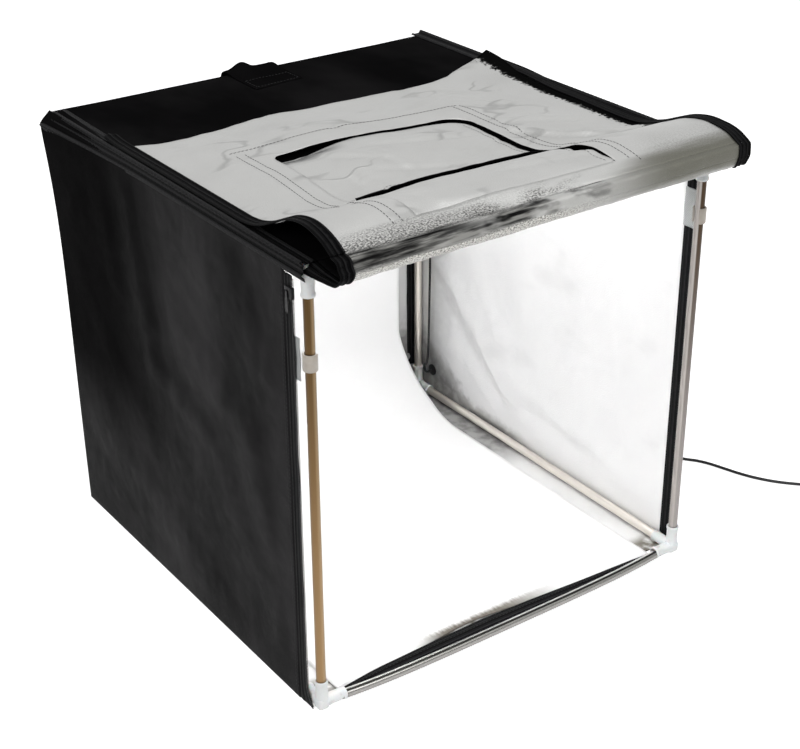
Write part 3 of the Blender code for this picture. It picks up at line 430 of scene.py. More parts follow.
cord_rubber = Finish("cord_rubber", (0.009, 0.009, 0.010), 0.42, specular=0.35)
cord_scuff = cord_rubber.grain(cord_rubber.place(), 160.0, 3.0)
cord_rubber.coated((0.008, 0.008, 0.009), (cord_rubber.rise(cord_scuff, 0.45, 0.8), (0.022, 0.022, 0.023)))
cord_rubber.give("Roughness", 0.34 + 0.22 * cord_scuff)
cord_rubber.relief(cord_rubber.grain(cord_rubber.place(), 900.0), 0.0001, 0.4)


def coil_points():
    """The coil's turns: inwards in the lower layer, up, and outwards again in the upper one."""
    half_turns = COIL_TURNS / 2
    inner = COIL_MEAN_RADIUS - COIL_STEP * half_turns / 2
    count = round(COIL_TURNS * 24)
    found = []
    for step in range(count + 1):
        turn = COIL_TURNS * step / count
        radius = inner + COIL_STEP * abs(turn - half_turns)
        height = COIL_LOW + COIL_STEP * eased((turn - half_turns) * 2 + 0.5)
        angle = 2 * math.pi * turn - math.pi / 2
        found.append(Vector((COIL_CENTRE[0] + radius * math.cos(angle),
                             COIL_CENTRE[1] + radius * math.sin(angle), height)))
    first, last = found[0], found[-1]
    return [first - Vector((CORD_DIAMETER, 0, 0))] + found + [last + Vector((0, CORD_DIAMETER, 0))]


wound = coil_points()
free_run = [
    (0.2186, 0.180, 0.030), (0.2216, 0.180, 0.030), (0.232, 0.179, 0.0275), (0.242, 0.176, 0.0175),
    (0.251, 0.171, 0.0070), (0.261, 0.163, 0.0019), (0.272, 0.150, 0.0015), (0.284, 0.123, 0.0015),
    (0.292, 0.088, 0.0015), (0.297, 0.048, 0.0015), (0.301, 0.006, 0.0015), (0.306, -0.034, 0.0015),
    (0.313, -0.066, 0.0015), (0.321, -0.085, 0.0015), (0.330, -0.097, 0.0015), (0.3365, -0.110, 0.0015),
    (0.3415, -0.125, 0.0015), (0.347, -0.141, 0.0015), (0.355, -0.158, 0.0015), (0.368, -0.177, 0.0015),
    (0.388, -0.197, 0.0016), (0.410, -0.2095, 0.0020), tuple(wound[0]),
]
cord_line = smooth_curve(free_run, 6) + wound[1:]
power_cord = bring_in(round_line("power_flex", cord_line, CORD_DIAMETER, cord_rubber), "black_rubber", "tent",
                      ["power_cord", "cord_coil"])

# Rubber grommet with its ribbed strain relief, pushed through the wall from inside.
relief_profile = [(-0.0029, 0.0012), (-0.0029, 0.0056), (-0.0026, 0.0062), (-0.0018, 0.0062),
                  (-0.0015, 0.0058), (-0.0015, 0.0042), (0.0003, 0.0042), (0.0003, 0.0060),
                  (0.0007, 0.0062), (0.0014, 0.0060), (0.0017, 0.0052), (0.0026, 0.0042)]
for rib in range(5):
    start, width = 0.0034 + rib * 0.0026, 0.0040 - rib * 0.00034
    relief_profile += [(start, width), (start + 0.0012, width - 0.0001), (start + 0.0014, width - 0.0009),
                       (start + 0.0022, width - 0.0009), (start + 0.0024, width - 0.0003)]
relief_profile += [(0.0168, 0.0022), (0.0174, 0.0021), (0.0177, 0.0018), (0.0177, 0.0012)]
add_piece("strain_relief", turned_form(relief_profile, Matrix.Translation(GROMMET), 28), [cord_rubber],
          "black_rubber", ["cord_grommet"])

# Moulded plug: a boot over the cord, a ribbed grip and a nickel barrel with its insulating ring.
plug_metal = Finish("plug_metal", (0.66, 0.65, 0.62), 0.22, metallic=1.0)
plug_metal.give("Roughness", 0.16 + 0.2 * plug_metal.grain(plug_metal.place(), 900.0))
plug_placing = Matrix.Translation(wound[-1]) @ Matrix.Rotation(math.pi / 2, 4, "Z")
plug_profile = [(0.0003, 0.00155), (0.0003, 0.0019)]
for rib in range(4):
    start, grown = 0.0016 + rib * 0.0028, rib * 0.0002
    plug_profile += [(start, 0.0020 + grown), (start + 0.0003, 0.0016 + grown),
                     (start + 0.0011, 0.0016 + grown), (start + 0.0014, 0.0021 + grown)]
plug_profile += [(0.0133, 0.0030), (0.0142, 0.0046), (0.0160, 0.0054), (0.0190, 0.0055)]
for rib in range(5):
    start = 0.0200 + rib * 0.0024
    plug_profile += [(start, 0.0055), (start + 0.0003, 0.0049), (start + 0.0009, 0.0049),
                     (start + 0.0012, 0.0055)]
plug_profile += [(0.0345, 0.0055), (0.0365, 0.0052), (0.0373, 0.0044), (0.0373, 0.0011), (0.0003, 0.0011)]
plug_grip = add_piece("plug_grip", turned_form(plug_profile, plug_placing), [cord_rubber], "black_rubber",
                      ["cord_plug"])
barrel = [(0.0374, 0.0011), (0.0374, 0.00275), (0.0460, 0.00275), (0.0466, 0.0025), (0.0466, 0.0013),
          (0.0400, 0.00125)]
plug_barrel = add_piece("plug_barrel", turned_form(barrel, plug_placing), [plug_metal], "zip_metal",
                        ["cord_plug"])


# Strap of hook-and-loop tape round the coil.


def woven_tape(name, tone, specular):
    """Black woven tape: fine ribs along it, coarser ones under them, and a little fuzz, with painted shade in the
    grooves and a painted highlight on the coarser ridges.
    """
    finish = Finish(name, tone, 0.62, specular=specular)
    cut = finish.cut()
    rib = 0.5 + 0.5 * finish.wave(finish.part(cut, "X") * 4200.0)
    hem = 0.5 + 0.5 * finish.wave(finish.part(cut, "X") * 1500.0)
    fuzz = finish.grain(cut, 420.0, 3.0)
    # Colour: painted shade in the grooves between the fine ribs, and a painted highlight along the crests of the
    # coarser ones.
    finish.coated((tone * 0.3, tone * 0.3, tone * 0.35),
                  (finish.rise(rib * (0.5 + fuzz), 0.25, 0.95), (tone, tone, tone * 1.05)),
                  (finish.rise(hem, 0.45, 0.95) * 0.8, (tone * 3, tone * 3, tone * 3.1)))
    finish.give("Roughness", 0.48 + 0.25 * fuzz)
    weft = finish.wave(finish.part(cut, "Y") * 5200.0)
    finish.relief(rib * 1.5 + 0.3 * weft + fuzz + 2.0 * hem, 0.0004, 0.7)
    return finish


black_tape = woven_tape("black_tape", 0.0066, 0.06)


def cloth_form(columns, rows, lay, cut, start=(0.0, 0.0)):
    """A cut of cloth laid along lay(across, along), both from 0 to 1, with its flat places kept as a map."""
    form = bmesh.new()
    flat = form.loops.layers.uv.new("cut")
    bmesh.ops.create_grid(form, x_segments=columns, y_segments=rows, size=0.5)
    for face in form.faces:
        for corner in face.loops:
            across, along = corner.vert.co.x + 0.5, corner.vert.co.y + 0.5
            corner[flat].uv = (start[0] + across * cut[0], start[1] + along * cut[1])
    for vertex in form.verts:
        vertex.co = lay(vertex.co.x + 0.5, vertex.co.y + 0.5)
    return form


def thicken(piece, thickness, lining=0):
    """Give a cloth its thickness behind its face; the lining is the number of its back's finish."""
    shell = piece.modifiers.new("thickness", "SOLIDIFY")
    shell.thickness = thickness
    shell.offset = -1.0
    shell.material_offset = lining
    shell.use_even_offset = True
    return piece


TIE_WIDTH = 0.007
TIE_LOOP = smooth_curve([(-0.1660, 0.0010), (-0.1655, 0.0050), (-0.1665, 0.0083), (-0.1700, 0.0086),
                         (-0.1735, 0.0086), (-0.1780, 0.0083), (-0.1792, 0.0050), (-0.1788, 0.0010),
                         (-0.1770, 0.0002), (-0.1735, 0.0002), (-0.1690, 0.0002), (-0.1660, 0.0010)], 4)


def tie_lay(across, along):
    """Place on the coil's strap: across its width, and round the turns."""
    point = TIE_LOOP[round(along * (len(TIE_LOOP) - 1))]
    return Vector((COIL_CENTRE[0] + (across - 0.5) * TIE_WIDTH, point.x, point.y))


tie_form = cloth_form(6, len(TIE_LOOP) - 1, tie_lay, (TIE_WIDTH, 0.036))
bmesh.ops.remove_doubles(tie_form, verts=tie_form.verts, dist=0.00005)
bmesh.ops.recalc_face_normals(tie_form, faces=tie_form.faces)
tie = thicken(add_piece("coil_strap", tie_form, [black_tape], "black_tape", ["cord_tie"]), 0.0006)

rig.cord(power_cord, exit=free_run[0], length=round(line_length(cord_line), 4), diameter=CORD_DIAMETER,
        far_end="plug", stiffness="limp", lay="loose", with_pieces=[plug_grip, plug_barrel, tie])


# Tube frame
# Twelve thin steel tubes, bright drawn, plugged into the corner connectors. The front posts have a bronze
# tone, the left one more than the right, each with a painted highlight down one side; the front rails carry
# painted reflection bands.

TUBE_RADIUS = 0.004
TUBE_WALL = 0.0008


def drawn_metal(name, colour, roughness, metallic, scale, gloss, specular=0.5):
    """Drawn metal, whose gloss changes over fine streaks along the tube: the finish, and its streaks."""
    finish = Finish(name, colour, roughness, metallic, specular)
    streak = finish.grain(finish.stretched(finish.cut(), 1.0, 0.02), scale, 3.0)
    finish.give("Roughness", gloss[0] + gloss[1] * streak)
    return finish, streak


def post_tones(finish, streak, height, side, edge, strength, tones):
    """Coats of a front post: it darkens upwards, and a painted highlight runs down one side of it."""
    place = finish.place()
    low = finish.rise(finish.part(place, "Z"), *height)
    # Place across the post along the viewpoint's right: the painted highlight lies on one side of it.
    offset = 0.8138 * finish.part(place, "X") - 0.5812 * finish.part(place, "Y") + side
    return tones[0], (low, tones[1]), (finish.rise(offset + 0.0008 * streak, *edge) * strength, tones[2])


steel, steel_streak = drawn_metal("bright_steel", (0.60, 0.59, 0.57), 0.20, 1.0, 900.0, (0.16, 0.16))
reflection_band_round = steel.part(steel.cut(), "X")
# Painted reflection round the tube: pale on one part, then a dark line, a greyer stretch and a darker band at fixed
# places round it; the fine streaks are the steel's own.
steel.coated(
    (0.62, 0.61, 0.59), (steel_streak, (0.84, 0.83, 0.81)),
    (steel.rise(reflection_band_round, 0.0146, 0.0152), (0.22, 0.215, 0.205)),
    (steel.rise(reflection_band_round, 0.0124, 0.0129) * steel.rise(reflection_band_round, 0.0152, 0.0147),
     (0.030, 0.029, 0.027)),
    (steel.rise(reflection_band_round + 0.0006 * steel_streak, 0.0196, 0.0208) * 0.7, (0.09, 0.088, 0.085)))
steel.relief(steel_streak, 0.00003, 0.3)

pale_steel, pale_streak = drawn_metal("pale_steel", (0.80, 0.76, 0.70), 0.30, 0.75, 700.0, (0.24, 0.2))
pale_steel.coated((0.66, 0.61, 0.55), (pale_streak, (0.88, 0.84, 0.78)))

bronze, bronze_streak = drawn_metal("bronze_steel", (0.26, 0.15, 0.06), 0.24, 0.65, 800.0, (0.26, 0.2), 0.2)
# Painted highlight down the post's right side; its streaks are the metal's own.
bronze.coated(*post_tones(bronze, bronze_streak, (0.37, 0.06), 0.0416, (0.0012, 0.0034), 0.6, (
    (0.062, 0.032, 0.008), (0.25, 0.155, 0.073), (0.32, 0.23, 0.13))),
    (bronze_streak * 0.25, (0.22, 0.145, 0.075)))
bronze.relief(bronze_streak, 0.00003, 0.3)

worn_bronze, worn_streak = drawn_metal("worn_bronze", (0.26, 0.20, 0.15), 0.24, 0.6, 800.0, (0.22, 0.2), 0.3)
# Painted highlight down the post's left half.
worn_bronze.coated(*post_tones(worn_bronze, worn_streak, (0.36, 0.05), -0.2741, (0.0004, -0.0008), 1.0, (
    (0.050, 0.030, 0.015), (0.26, 0.24, 0.23), (0.36, 0.335, 0.315))))


def add_tube(name, node, axis, finish, bow=(0, 0, 0)):
    """Tube in a solid's box along one axis, with its cut running round and along it, bowed in its middle."""
    low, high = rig.box(node)
    length = high[axis] - low[axis]
    turn = Vector((0, 0, 1)).rotation_difference(Matrix.Identity(3)[axis]).to_matrix().to_4x4()
    form = cloth_form(32, 24, lambda across, along: Vector((TUBE_RADIUS * math.cos(2 * math.pi * across),
                                                            TUBE_RADIUS * math.sin(2 * math.pi * across),
                                                            (along - 0.5) * length)), (0.025, length))
    bmesh.ops.remove_doubles(form, verts=form.verts, dist=0.00001)
    bmesh.ops.transform(form, matrix=Matrix.Translation((low + high) / 2) @ turn, verts=form.verts)
    for vertex in form.verts:
        vertex.co += Vector(bow) * (1 - (2 * (vertex.co[axis] - low[axis]) / length - 1) ** 4)
    bmesh.ops.recalc_face_normals(form, faces=form.faces)
    thicken(add_piece(name, form, [finish], "tube_steel", [node]), TUBE_WALL)


for depth, side, finish in (("front", "left", bronze), ("front", "right", worn_bronze),
                            ("rear", "left", pale_steel), ("rear", "right", pale_steel)):
    add_tube(f"{depth}_{side}_post", f"post_{depth}_{side}", 2, finish)
for level in ("bottom", "top"):
    for run, axis in (("front", 0), ("rear", 0), ("left", 1), ("right", 1)):
        sag = (0, -0.0040, -0.0027) if (level, run) == ("bottom", "front") else (0, 0, 0)
        finish = steel if run == "front" else pale_steel
        add_tube(f"{level}_{run}_rail", f"rail_{level}_{run}", axis, finish, sag)


# Corner connectors
# Eight white moulded three-way corners: a rounded hub with three short sockets, each with a beaded mouth,
# that the tubes are pushed into.

white_plastic = Finish("white_plastic", (0.70, 0.71, 0.71), 0.36)
plastic_place = white_plastic.place()
plastic_flow = white_plastic.grain(plastic_place, 60.0, 2.0)
plastic_dirt = white_plastic.rise(white_plastic.grain(plastic_place, 210.0, 4.0), 0.58, 0.75)
white_plastic.coated((0.66, 0.67, 0.67), (plastic_flow, (0.76, 0.77, 0.77)),
                     (plastic_dirt * 0.5, (0.50, 0.50, 0.49)))
white_plastic.give("Roughness", 0.3 + 0.2 * plastic_flow)
white_plastic.relief(white_plastic.grain(plastic_place, 1400.0), 0.00006, 0.3)
white_plastic.give("Subsurface Weight", 0.15)
white_plastic.give("Subsurface Scale", 0.002)

HUB_HALF = 0.0054
SOCKET = [(0.0030, 0.0052), (0.0060, 0.0054), (0.0072, 0.0051), (0.0188, 0.0050), (0.0193, 0.0054),
          (0.0200, 0.00565), (0.0213, 0.00565), (0.0218, 0.0054), (0.0220, 0.0050), (0.0219, 0.0044),
          (0.0060, 0.0043), (0.0058, 0.0010), (0.0030, 0.0010)]


def gather(form, other):
    """Take another form's faces into a form."""
    mesh = bpy.data.meshes.new("gathered")
    other.to_mesh(mesh)
    other.free()
    form.from_mesh(mesh)
    bpy.data.meshes.remove(mesh)


def add_connector(level, depth, side, outward):
    """A connector: its hub in its box's outer corner, and a socket along each axis towards the inside."""
    node = f"corner_{level}_{depth}_{side}"
    low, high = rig.box(node)
    hub = Vector([low[axis] + HUB_HALF if outward[axis] < 0 else high[axis] - HUB_HALF for axis in range(3)])
    form = bmesh.new()
    bmesh.ops.create_cube(form, size=2 * HUB_HALF)
    bmesh.ops.bevel(form, geom=form.edges[:] + form.verts[:], offset=0.0030, offset_type="OFFSET",
                    segments=4, profile=0.5, affect="EDGES", material=-1)
    bmesh.ops.translate(form, verts=form.verts, vec=hub)
    for axis in range(3):
        way = Vector([-outward[axis] if number == axis else 0 for number in range(3)])
        turn = Vector((1, 0, 0)).rotation_difference(way).to_matrix().to_4x4()
        gather(form, turned_form(SOCKET, Matrix.Translation(hub) @ turn, 28))
    add_piece(f"{level}_{depth}_{side}_connector", form, [white_plastic], "white_plastic", [node])


for level, up in (("bottom", -1), ("top", 1)):
    for depth, back in (("front", -1), ("rear", 1)):
        for side, right in (("left", -1), ("right", 1)):
            add_connector(level, depth, side, (right, back, up))


# Post clips
# A white snap clip round each front post, and the grey webbing tab that it pulls on, sewn to the wall's edge.

webbing = Finish("grey_webbing", (0.42, 0.43, 0.43), 0.75, specular=0.25)
webbing_place = webbing.place()
webbing_weave = (webbing.wave(webbing.part(webbing_place, "Y") * 3600.0)
                 * webbing.wave(webbing.part(webbing_place, "Z") * 2600.0))
webbing_fuzz = webbing.grain(webbing_place, 300.0, 4.0)
webbing.coated((0.26, 0.27, 0.27), (0.5 + 0.35 * webbing_weave, (0.52, 0.53, 0.53)))
webbing.give("Roughness", 0.6 + 0.3 * webbing_fuzz)
webbing.relief(webbing_weave + webbing_fuzz, 0.0004, 0.7)

clip_plastic = Finish("clip_plastic", (0.62, 0.57, 0.50), 0.38)
clip_flow = clip_plastic.grain(clip_plastic.place(), 140.0, 3.0)
clip_plastic.coated((0.31, 0.265, 0.215), (clip_flow, (0.48, 0.45, 0.41)))
clip_plastic.give("Roughness", 0.3 + 0.2 * clip_flow)

POST_PLACE = (0.194, -0.200)
CLIP_INNER = 0.0043
CLIP_OUTER = 0.0058
CLIP_ROUND = 0.0003
CLIP_CHAMFER = 0.0006
CLIP_SHORTER = 0.0024


def add_clip(side, sign):
    """A clip's ring, open at the back, round its post."""
    low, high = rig.box(f"post_clip_{side}")
    bottom, top = low.z + CLIP_SHORTER, high.z - CLIP_SHORTER
    bead = [(CLIP_INNER, bottom + CLIP_CHAMFER), (CLIP_INNER + CLIP_ROUND, bottom),
            (CLIP_OUTER - CLIP_ROUND, bottom), (CLIP_OUTER, bottom + CLIP_CHAMFER),
            (CLIP_OUTER, top - CLIP_CHAMFER), (CLIP_OUTER - CLIP_ROUND, top),
            (CLIP_INNER + CLIP_ROUND, top), (CLIP_INNER, top - CLIP_CHAMFER)]
    turn = Matrix.Rotation((0.0 if sign < 0 else math.pi) + math.radians(45.0), 3, "Z")
    post = Vector((sign * POST_PLACE[0], POST_PLACE[1], 0.0))
    form = bmesh.new()
    edge = form.faces.new([form.verts.new(post + turn @ Vector((radius, 0, z))) for radius, z in bead])
    bmesh.ops.spin(form, geom=[edge], cent=post, axis=(0, 0, 1), dvec=(0, 0, 0), angle=math.radians(270.0),
                   steps=30, use_merge=False)
    bmesh.ops.holes_fill(form, edges=[line for line in form.edges if line.is_boundary], sides=12)
    bmesh.ops.recalc_face_normals(form, faces=form.faces)
    add_piece(f"{side}_post_clip", form, [clip_plastic], "white_plastic", [f"post_clip_{side}"])


def add_tab(side, sign):
    """The webbing tab from a clip back to its wall."""
    low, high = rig.box(f"clip_tab_{side}")
    size = high - low

    def lay(across, along):
        bow = 0.0005 * math.sin(math.pi * across) + 0.0003 * math.sin(3 * math.pi * along)
        return Vector(((low.x + high.x) / 2 + sign * (bow + 0.0003), low.y + across * size.y,
                       low.z + along * size.z))

    form = cloth_form(10, 20, lay, (size.y, size.z))
    if sign < 0:
        bmesh.ops.reverse_faces(form, faces=form.faces)
    thicken(add_piece(f"{side}_clip_tab", form, [webbing], "grey_webbing", [f"clip_tab_{side}"]), 0.0006)


SIDES = (("left", -1), ("right", 1))
for side, sign in SIDES:
    add_clip(side, sign)
    add_tab(side, sign)


# Sewn cover
# Five panels of black coated nylon with a crinkled silver film laminated to the inside, sewn together at
# their edges. The walls are pulled over the frame from behind and stay slightly loose, with soft folds.


def nylon(name, dark, light, specular, lee=0.0):
    """Black coated nylon: a fine weave and dust, with broad lighter patches of painted sheen, and painted shade
    towards the left wall's upper rear.
    """
    finish = Finish(name, dark, 0.5, specular=specular)
    cut = finish.cut()
    weave = finish.wave(finish.part(cut, "X") * 7800.0) * finish.wave(finish.part(cut, "Y") * 7800.0)
    tone = finish.grain(finish.stretched(cut, 1.0, 0.6), 9.0, 4.0)
    haze = finish.grain(cut, 70.0, 4.0)
    dust = finish.rise(finish.grain(cut, 1500.0, 2.0), 0.66, 0.8)
    # Painted sheen: broad lighter patches; the pale specks are dust.
    finish.coated((dark, dark * 0.97, dark * 1.03),
                  (finish.rise(tone, 0.38, 0.66), (light, light * 0.96, light)), (dust * 0.2, light * 2.4))
    # Painted shade: the left wall turns matt black towards its upper rear.
    if lee:
        place = finish.place()
        far = finish.rise(finish.part(place, "Y") + 0.07 * (tone - 0.5), -0.03, 0.13)
        high = finish.rise(finish.part(place, "Z") + 0.06 * (tone - 0.5), 0.07, 0.19)
        left = finish.rise(finish.part(place, "X"), -0.15, -0.19)
        finish.blacken(lee * far * high * left, (0.0032, 0.0031, 0.0032))
    finish.give("Roughness", 0.38 + 0.18 * haze + 0.06 * tone)
    finish.relief(0.06 * weave + haze, 0.0022, 0.35)
    return finish


def lining_film():
    """Silver film: bright and crinkled, with painted shade over its soft folds, towards the rear, in the lower rear
    corners and along the floor's seams, and a brown-grey painted shade at the floor's front edge.
    """
    film = Finish("silver_lining", 0.78, 0.42, metallic=0.35)
    rise, cut, place = film.rise, film.cut(), film.place()
    bend = film.grain(film.stretched(cut, 1.0, 0.5), 20.0, 3.0)
    fine = film.grain(cut, 780.0, 3.0)
    crumple = film.grain(place, 70.0, 7.0)
    soft = rise(film.grain(film.stretched(cut, 0.6), 15.0, 4.0), 0.52, 0.74)
    depth, height = film.part(place, "Y"), film.part(place, "Z")
    rear = rise(depth + 0.06 * (crumple - 0.5), 0.130, 0.190)
    corner = rise(height - 0.70 * depth + 0.05 * (crumple - 0.5), -0.056, -0.080)
    strip = rise(height + 0.020 * (crumple - 0.5), 0.022, 0.008) * rise(depth, 0.0, 0.06)
    low = 1.0 - (1.0 - corner) * (1.0 - strip)
    front = rise(depth, -0.160, -0.176) * rise(height, 0.006, 0.004)
    # Painted shade: grey over soft folds, darker towards the rear, in the lower rear corners and along the floor,
    # brown-grey at the floor's front edge; the bends are the film's own.
    film.coated((0.78, 0.78, 0.785), (bend, 0.84), (soft * 0.25, 0.48), (rear * 0.35, (0.36, 0.36, 0.355)),
                (low * (0.70 + 0.30 * rise(crumple, 0.36, 0.62)), (0.235, 0.232, 0.228)),
                (front * rise(crumple, 0.30, 0.60), (0.17, 0.155, 0.125)))
    film.give("Roughness", 0.34 + 0.22 * fine)
    film.relief(fine + bend * 3.0 + 1.2 * crumple * rear, 0.0008, 0.45)
    return film


black_cloth = nylon("black_cloth", 0.0042, 0.0105, 0.0)
wall_cloth = nylon("wall_cloth", 0.0040, 0.0230, 0.022, 0.85)
silver = lining_film()

# Each fold: where it starts and ends on its panel, how wide it is and how high it stands.
LEFT_FOLDS = [
    ((0.060, 0.385), (0.028, 0.225), 0.020, 0.0050), ((0.028, 0.225), (-0.030, 0.205), 0.016, 0.0030),
    ((-0.020, 0.290), (-0.135, 0.225), 0.030, 0.0030), ((-0.135, 0.225), (-0.160, 0.060), 0.024, 0.0030),
    ((0.150, 0.330), (0.185, 0.300), 0.012, 0.0024), ((0.150, 0.250), (0.060, 0.150), 0.026, 0.0034),
    ((0.120, 0.120), (-0.090, 0.030), 0.034, 0.0034), ((-0.100, 0.380), (-0.150, 0.300), 0.022, 0.0018),
    ((0.110, 0.370), (0.095, 0.270), 0.016, 0.0026), ((-0.060, 0.190), (-0.120, 0.110), 0.020, 0.0022)]
RIGHT_FOLDS = [
    ((0.150, 0.330), (0.020, 0.120), 0.030, 0.0028), ((0.080, 0.360), (-0.060, 0.200), 0.030, 0.0024),
    ((0.190, 0.160), (0.060, 0.050), 0.016, 0.0034), ((0.020, 0.060), (-0.140, 0.030), 0.014, 0.0024),
    ((-0.060, 0.340), (-0.150, 0.180), 0.024, 0.0020), ((-0.100, 0.200), (-0.120, 0.080), 0.016, 0.0020)]
REAR_FOLDS = [
    ((-0.120, 0.330), (-0.020, 0.180), 0.030, 0.0030), ((0.140, 0.300), (0.060, 0.120), 0.030, 0.0030),
    ((-0.080, 0.060), (0.090, 0.100), 0.026, 0.0026)]
WALL_SIDE = 0.2009
WALL_TOP = 0.3978
WALL_FRONT = -0.178
WALL_REAR = 0.2069
WALL_CORNER = 0.015
ROOF_HALF = 0.1994
ROOF_FRONT = -0.206
ROOF_LENGTH = 0.4114
BULGE = 0.0105
BULGE_HEIGHT = 0.3885
WALL_DENT = 0.0008


def ripple(x, y, scale, seed):
    """Even noise between -1 and 1 over a panel."""
    return noise.noise(Vector((x * scale, y * scale, seed)))


def folded(x, y, folds):
    """Height of a panel's soft folds at a place: up on one side of each fold's line and down on the other."""
    height = 0.0
    for start, end, width, depth in folds:
        along = Vector(end) - Vector(start)
        away = Vector((x, y)) - Vector(start)
        offset = away - along * held(away.dot(along) / along.length_squared)
        side = (along.x * away.y - along.y * away.x) / along.length
        height += depth * math.exp(-(offset.length / width) ** 2) * side / width
    return height


def deeper(y):
    """Share of the left wall's lean and of its binding's: none at the front, all of it at the rear."""
    return held((y - 0.02) / 0.185) ** 1.5


def bulge(y, z):
    """How far the left wall's upper rear corner stands out."""
    if z > BULGE_HEIGHT:
        return BULGE * deeper(y) * max(0.0, (WALL_TOP - z) / (WALL_TOP - BULGE_HEIGHT))
    return deeper(y) * (BULGE * math.exp(-((BULGE_HEIGHT - z) / 0.075) ** 1.3) + 0.0012 * math.sin(z * 9.0))


def wall_place(backwards, z, folds, seed):
    """Depth of a place on a wall, whose upper front corner is rounded, and its cloth's swell there."""
    over = max(0.0, z - (WALL_TOP - WALL_CORNER))
    front = WALL_FRONT + WALL_CORNER - math.sqrt(max(0.0, WALL_CORNER ** 2 - over ** 2))
    y = front + backwards * (WALL_REAR - front)
    slack = held(z / 0.05, (WALL_TOP - z) / 0.030) * held((y - WALL_FRONT) / 0.030, (WALL_REAR - y) / 0.040)
    swell = folded(y, z, folds) + 0.0022 * ripple(y, z, 11.0, seed) + 0.0009 * ripple(y, z, 34.0, seed + 3.0)
    return y, (swell + 0.0004 * ripple(y, z, 90.0, seed + 6.0)) * slack


def left_lay(across, along):
    """Place on the left wall, from the rear forward and up."""
    z = along * WALL_TOP
    y, swell = wall_place(1 - across, z, LEFT_FOLDS, 1.0)
    return Vector((-WALL_SIDE - bulge(y, z) - max(-0.0010, swell), y, z))


def right_lay(across, along):
    """Place on the right wall, from the front back and up."""
    z = along * WALL_TOP
    y, swell = wall_place(across, z, RIGHT_FOLDS, 12.0)
    return Vector((WALL_SIDE + max(-WALL_DENT, swell), y, z))


def rear_lay(across, along):
    """Place on the rear wall, from the right to the left and up."""
    z = along * WALL_TOP
    x = ROOF_HALF - across * (2 * ROOF_HALF + bulge(WALL_REAR, z))
    loose = max(0.0, min(1.0, z / 0.04, (WALL_TOP - z) / 0.03) * min(1.0, (0.2 - abs(x)) / 0.03))
    swell = folded(x, z, REAR_FOLDS) + 0.0024 * ripple(x, z, 10.0, 21.0) + 0.0008 * ripple(x, z, 36.0, 24.0)
    return Vector((x, WALL_REAR + max(-WALL_DENT, swell * loose), z - roof_sag(x, 0.2054) * along ** 6))


def roof_sag(x, y):
    """How far the roof hangs between the rails, and below the rear one at its seam."""
    middle = 1 - (x / ROOF_HALF) ** 2
    between = math.sin(math.pi * held((y - 0.02) / 0.176)) ** 2
    behind = held((y - 0.2020) / 0.0045)
    return (0.0012 * between + 0.0042 * behind ** 1.5) * middle + 0.0020 * behind * (1 - middle)


def roof_lay(across, along):
    """Place on the roof, from the left to the right and back."""
    x, y = (2 * across - 1) * ROOF_HALF, ROOF_FRONT + along * ROOF_LENGTH
    loose = held((ROOF_HALF - abs(x)) / 0.03, (y - ROOF_FRONT) / 0.03, (0.192 - y) / 0.020)
    swell = (0.0013 * ripple(x, y, 13.0, 31.0) + 0.0005 * ripple(x, y, 42.0, 33.0)) * loose
    return Vector((x, y, WALL_TOP - roof_sag(x, y) + (swell - 0.0002) * held((y - 0.095) / 0.02)))


def floor_lay(across, along):
    """Place on the floor, from the front back and to the right."""
    x = (2 * along - 1) * ROOF_HALF
    front = -0.184 - 0.0040 * (abs(x) / ROOF_HALF) ** 3
    return Vector((x, front + across * (0.2054 - front), 0.0))


for name, lay, columns, rows, cut, flat, finish, node in (
        ("left_wall_cloth", left_lay, 120, 124, (0.385, 0.398), (0.385, 0.398), wall_cloth, "left_wall"),
        ("right_wall_cloth", right_lay, 120, 124, (0.385, 0.398), (0.385, 0.398), wall_cloth, "right_wall"),
        ("rear_wall_cloth", rear_lay, 110, 110, (0.400, 0.398), (0.399, 0.398), wall_cloth, "rear_wall"),
        ("roof_cloth", roof_lay, 110, 110, (0.399, 0.4114), (0.399, 0.411), black_cloth, "roof_panel"),
        ("floor_cloth", floor_lay, 40, 60, (0.389, 0.399), (0.389, 0.399), black_cloth, "floor_panel")):
    panel = add_piece(name, cloth_form(columns, rows, lay, cut), [finish, silver], "black_cloth", [node])
    thicken(panel, 0.0011, 1)
    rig.sheet(panel, flat=flat, held="stretched", rests_on=["rail_top_left", "rail_top_right"])


# Seam bindings
# Black woven tape bound over the seams between the walls and the roof, with a cord in each of its edges, and
# a flat tape down each inner rear corner.

BINDING_LENGTH = 0.4154
BINDING = smooth_curve([
    (0.2011, 0.3842, 0), (0.2016, 0.3868, 0), (0.2036, 0.3878, 0), (0.2042, 0.3893, 0), (0.2034, 0.3906, 0),
    (0.2022, 0.3914, 0), (0.2024, 0.3935, 0), (0.2028, 0.3952, 0), (0.2022, 0.3964, 0), (0.2028, 0.3976, 0),
    (0.2044, 0.3990, 0), (0.2040, 0.4006, 0), (0.2024, 0.4010, 0), (0.2010, 0.4000, 0), (0.2003, 0.3986, 0),
    (0.1985, 0.3984, 0), (0.1950, 0.3984, 0), (0.1932, 0.3993, 0), (0.1920, 0.3991, 0),
    (0.1912, 0.3981, 0)], 2)


def bump(offset, width):
    """Rounded bump: 1 where the offset is 0, fading over a width on both sides."""
    return math.exp(-(offset / width) ** 2)


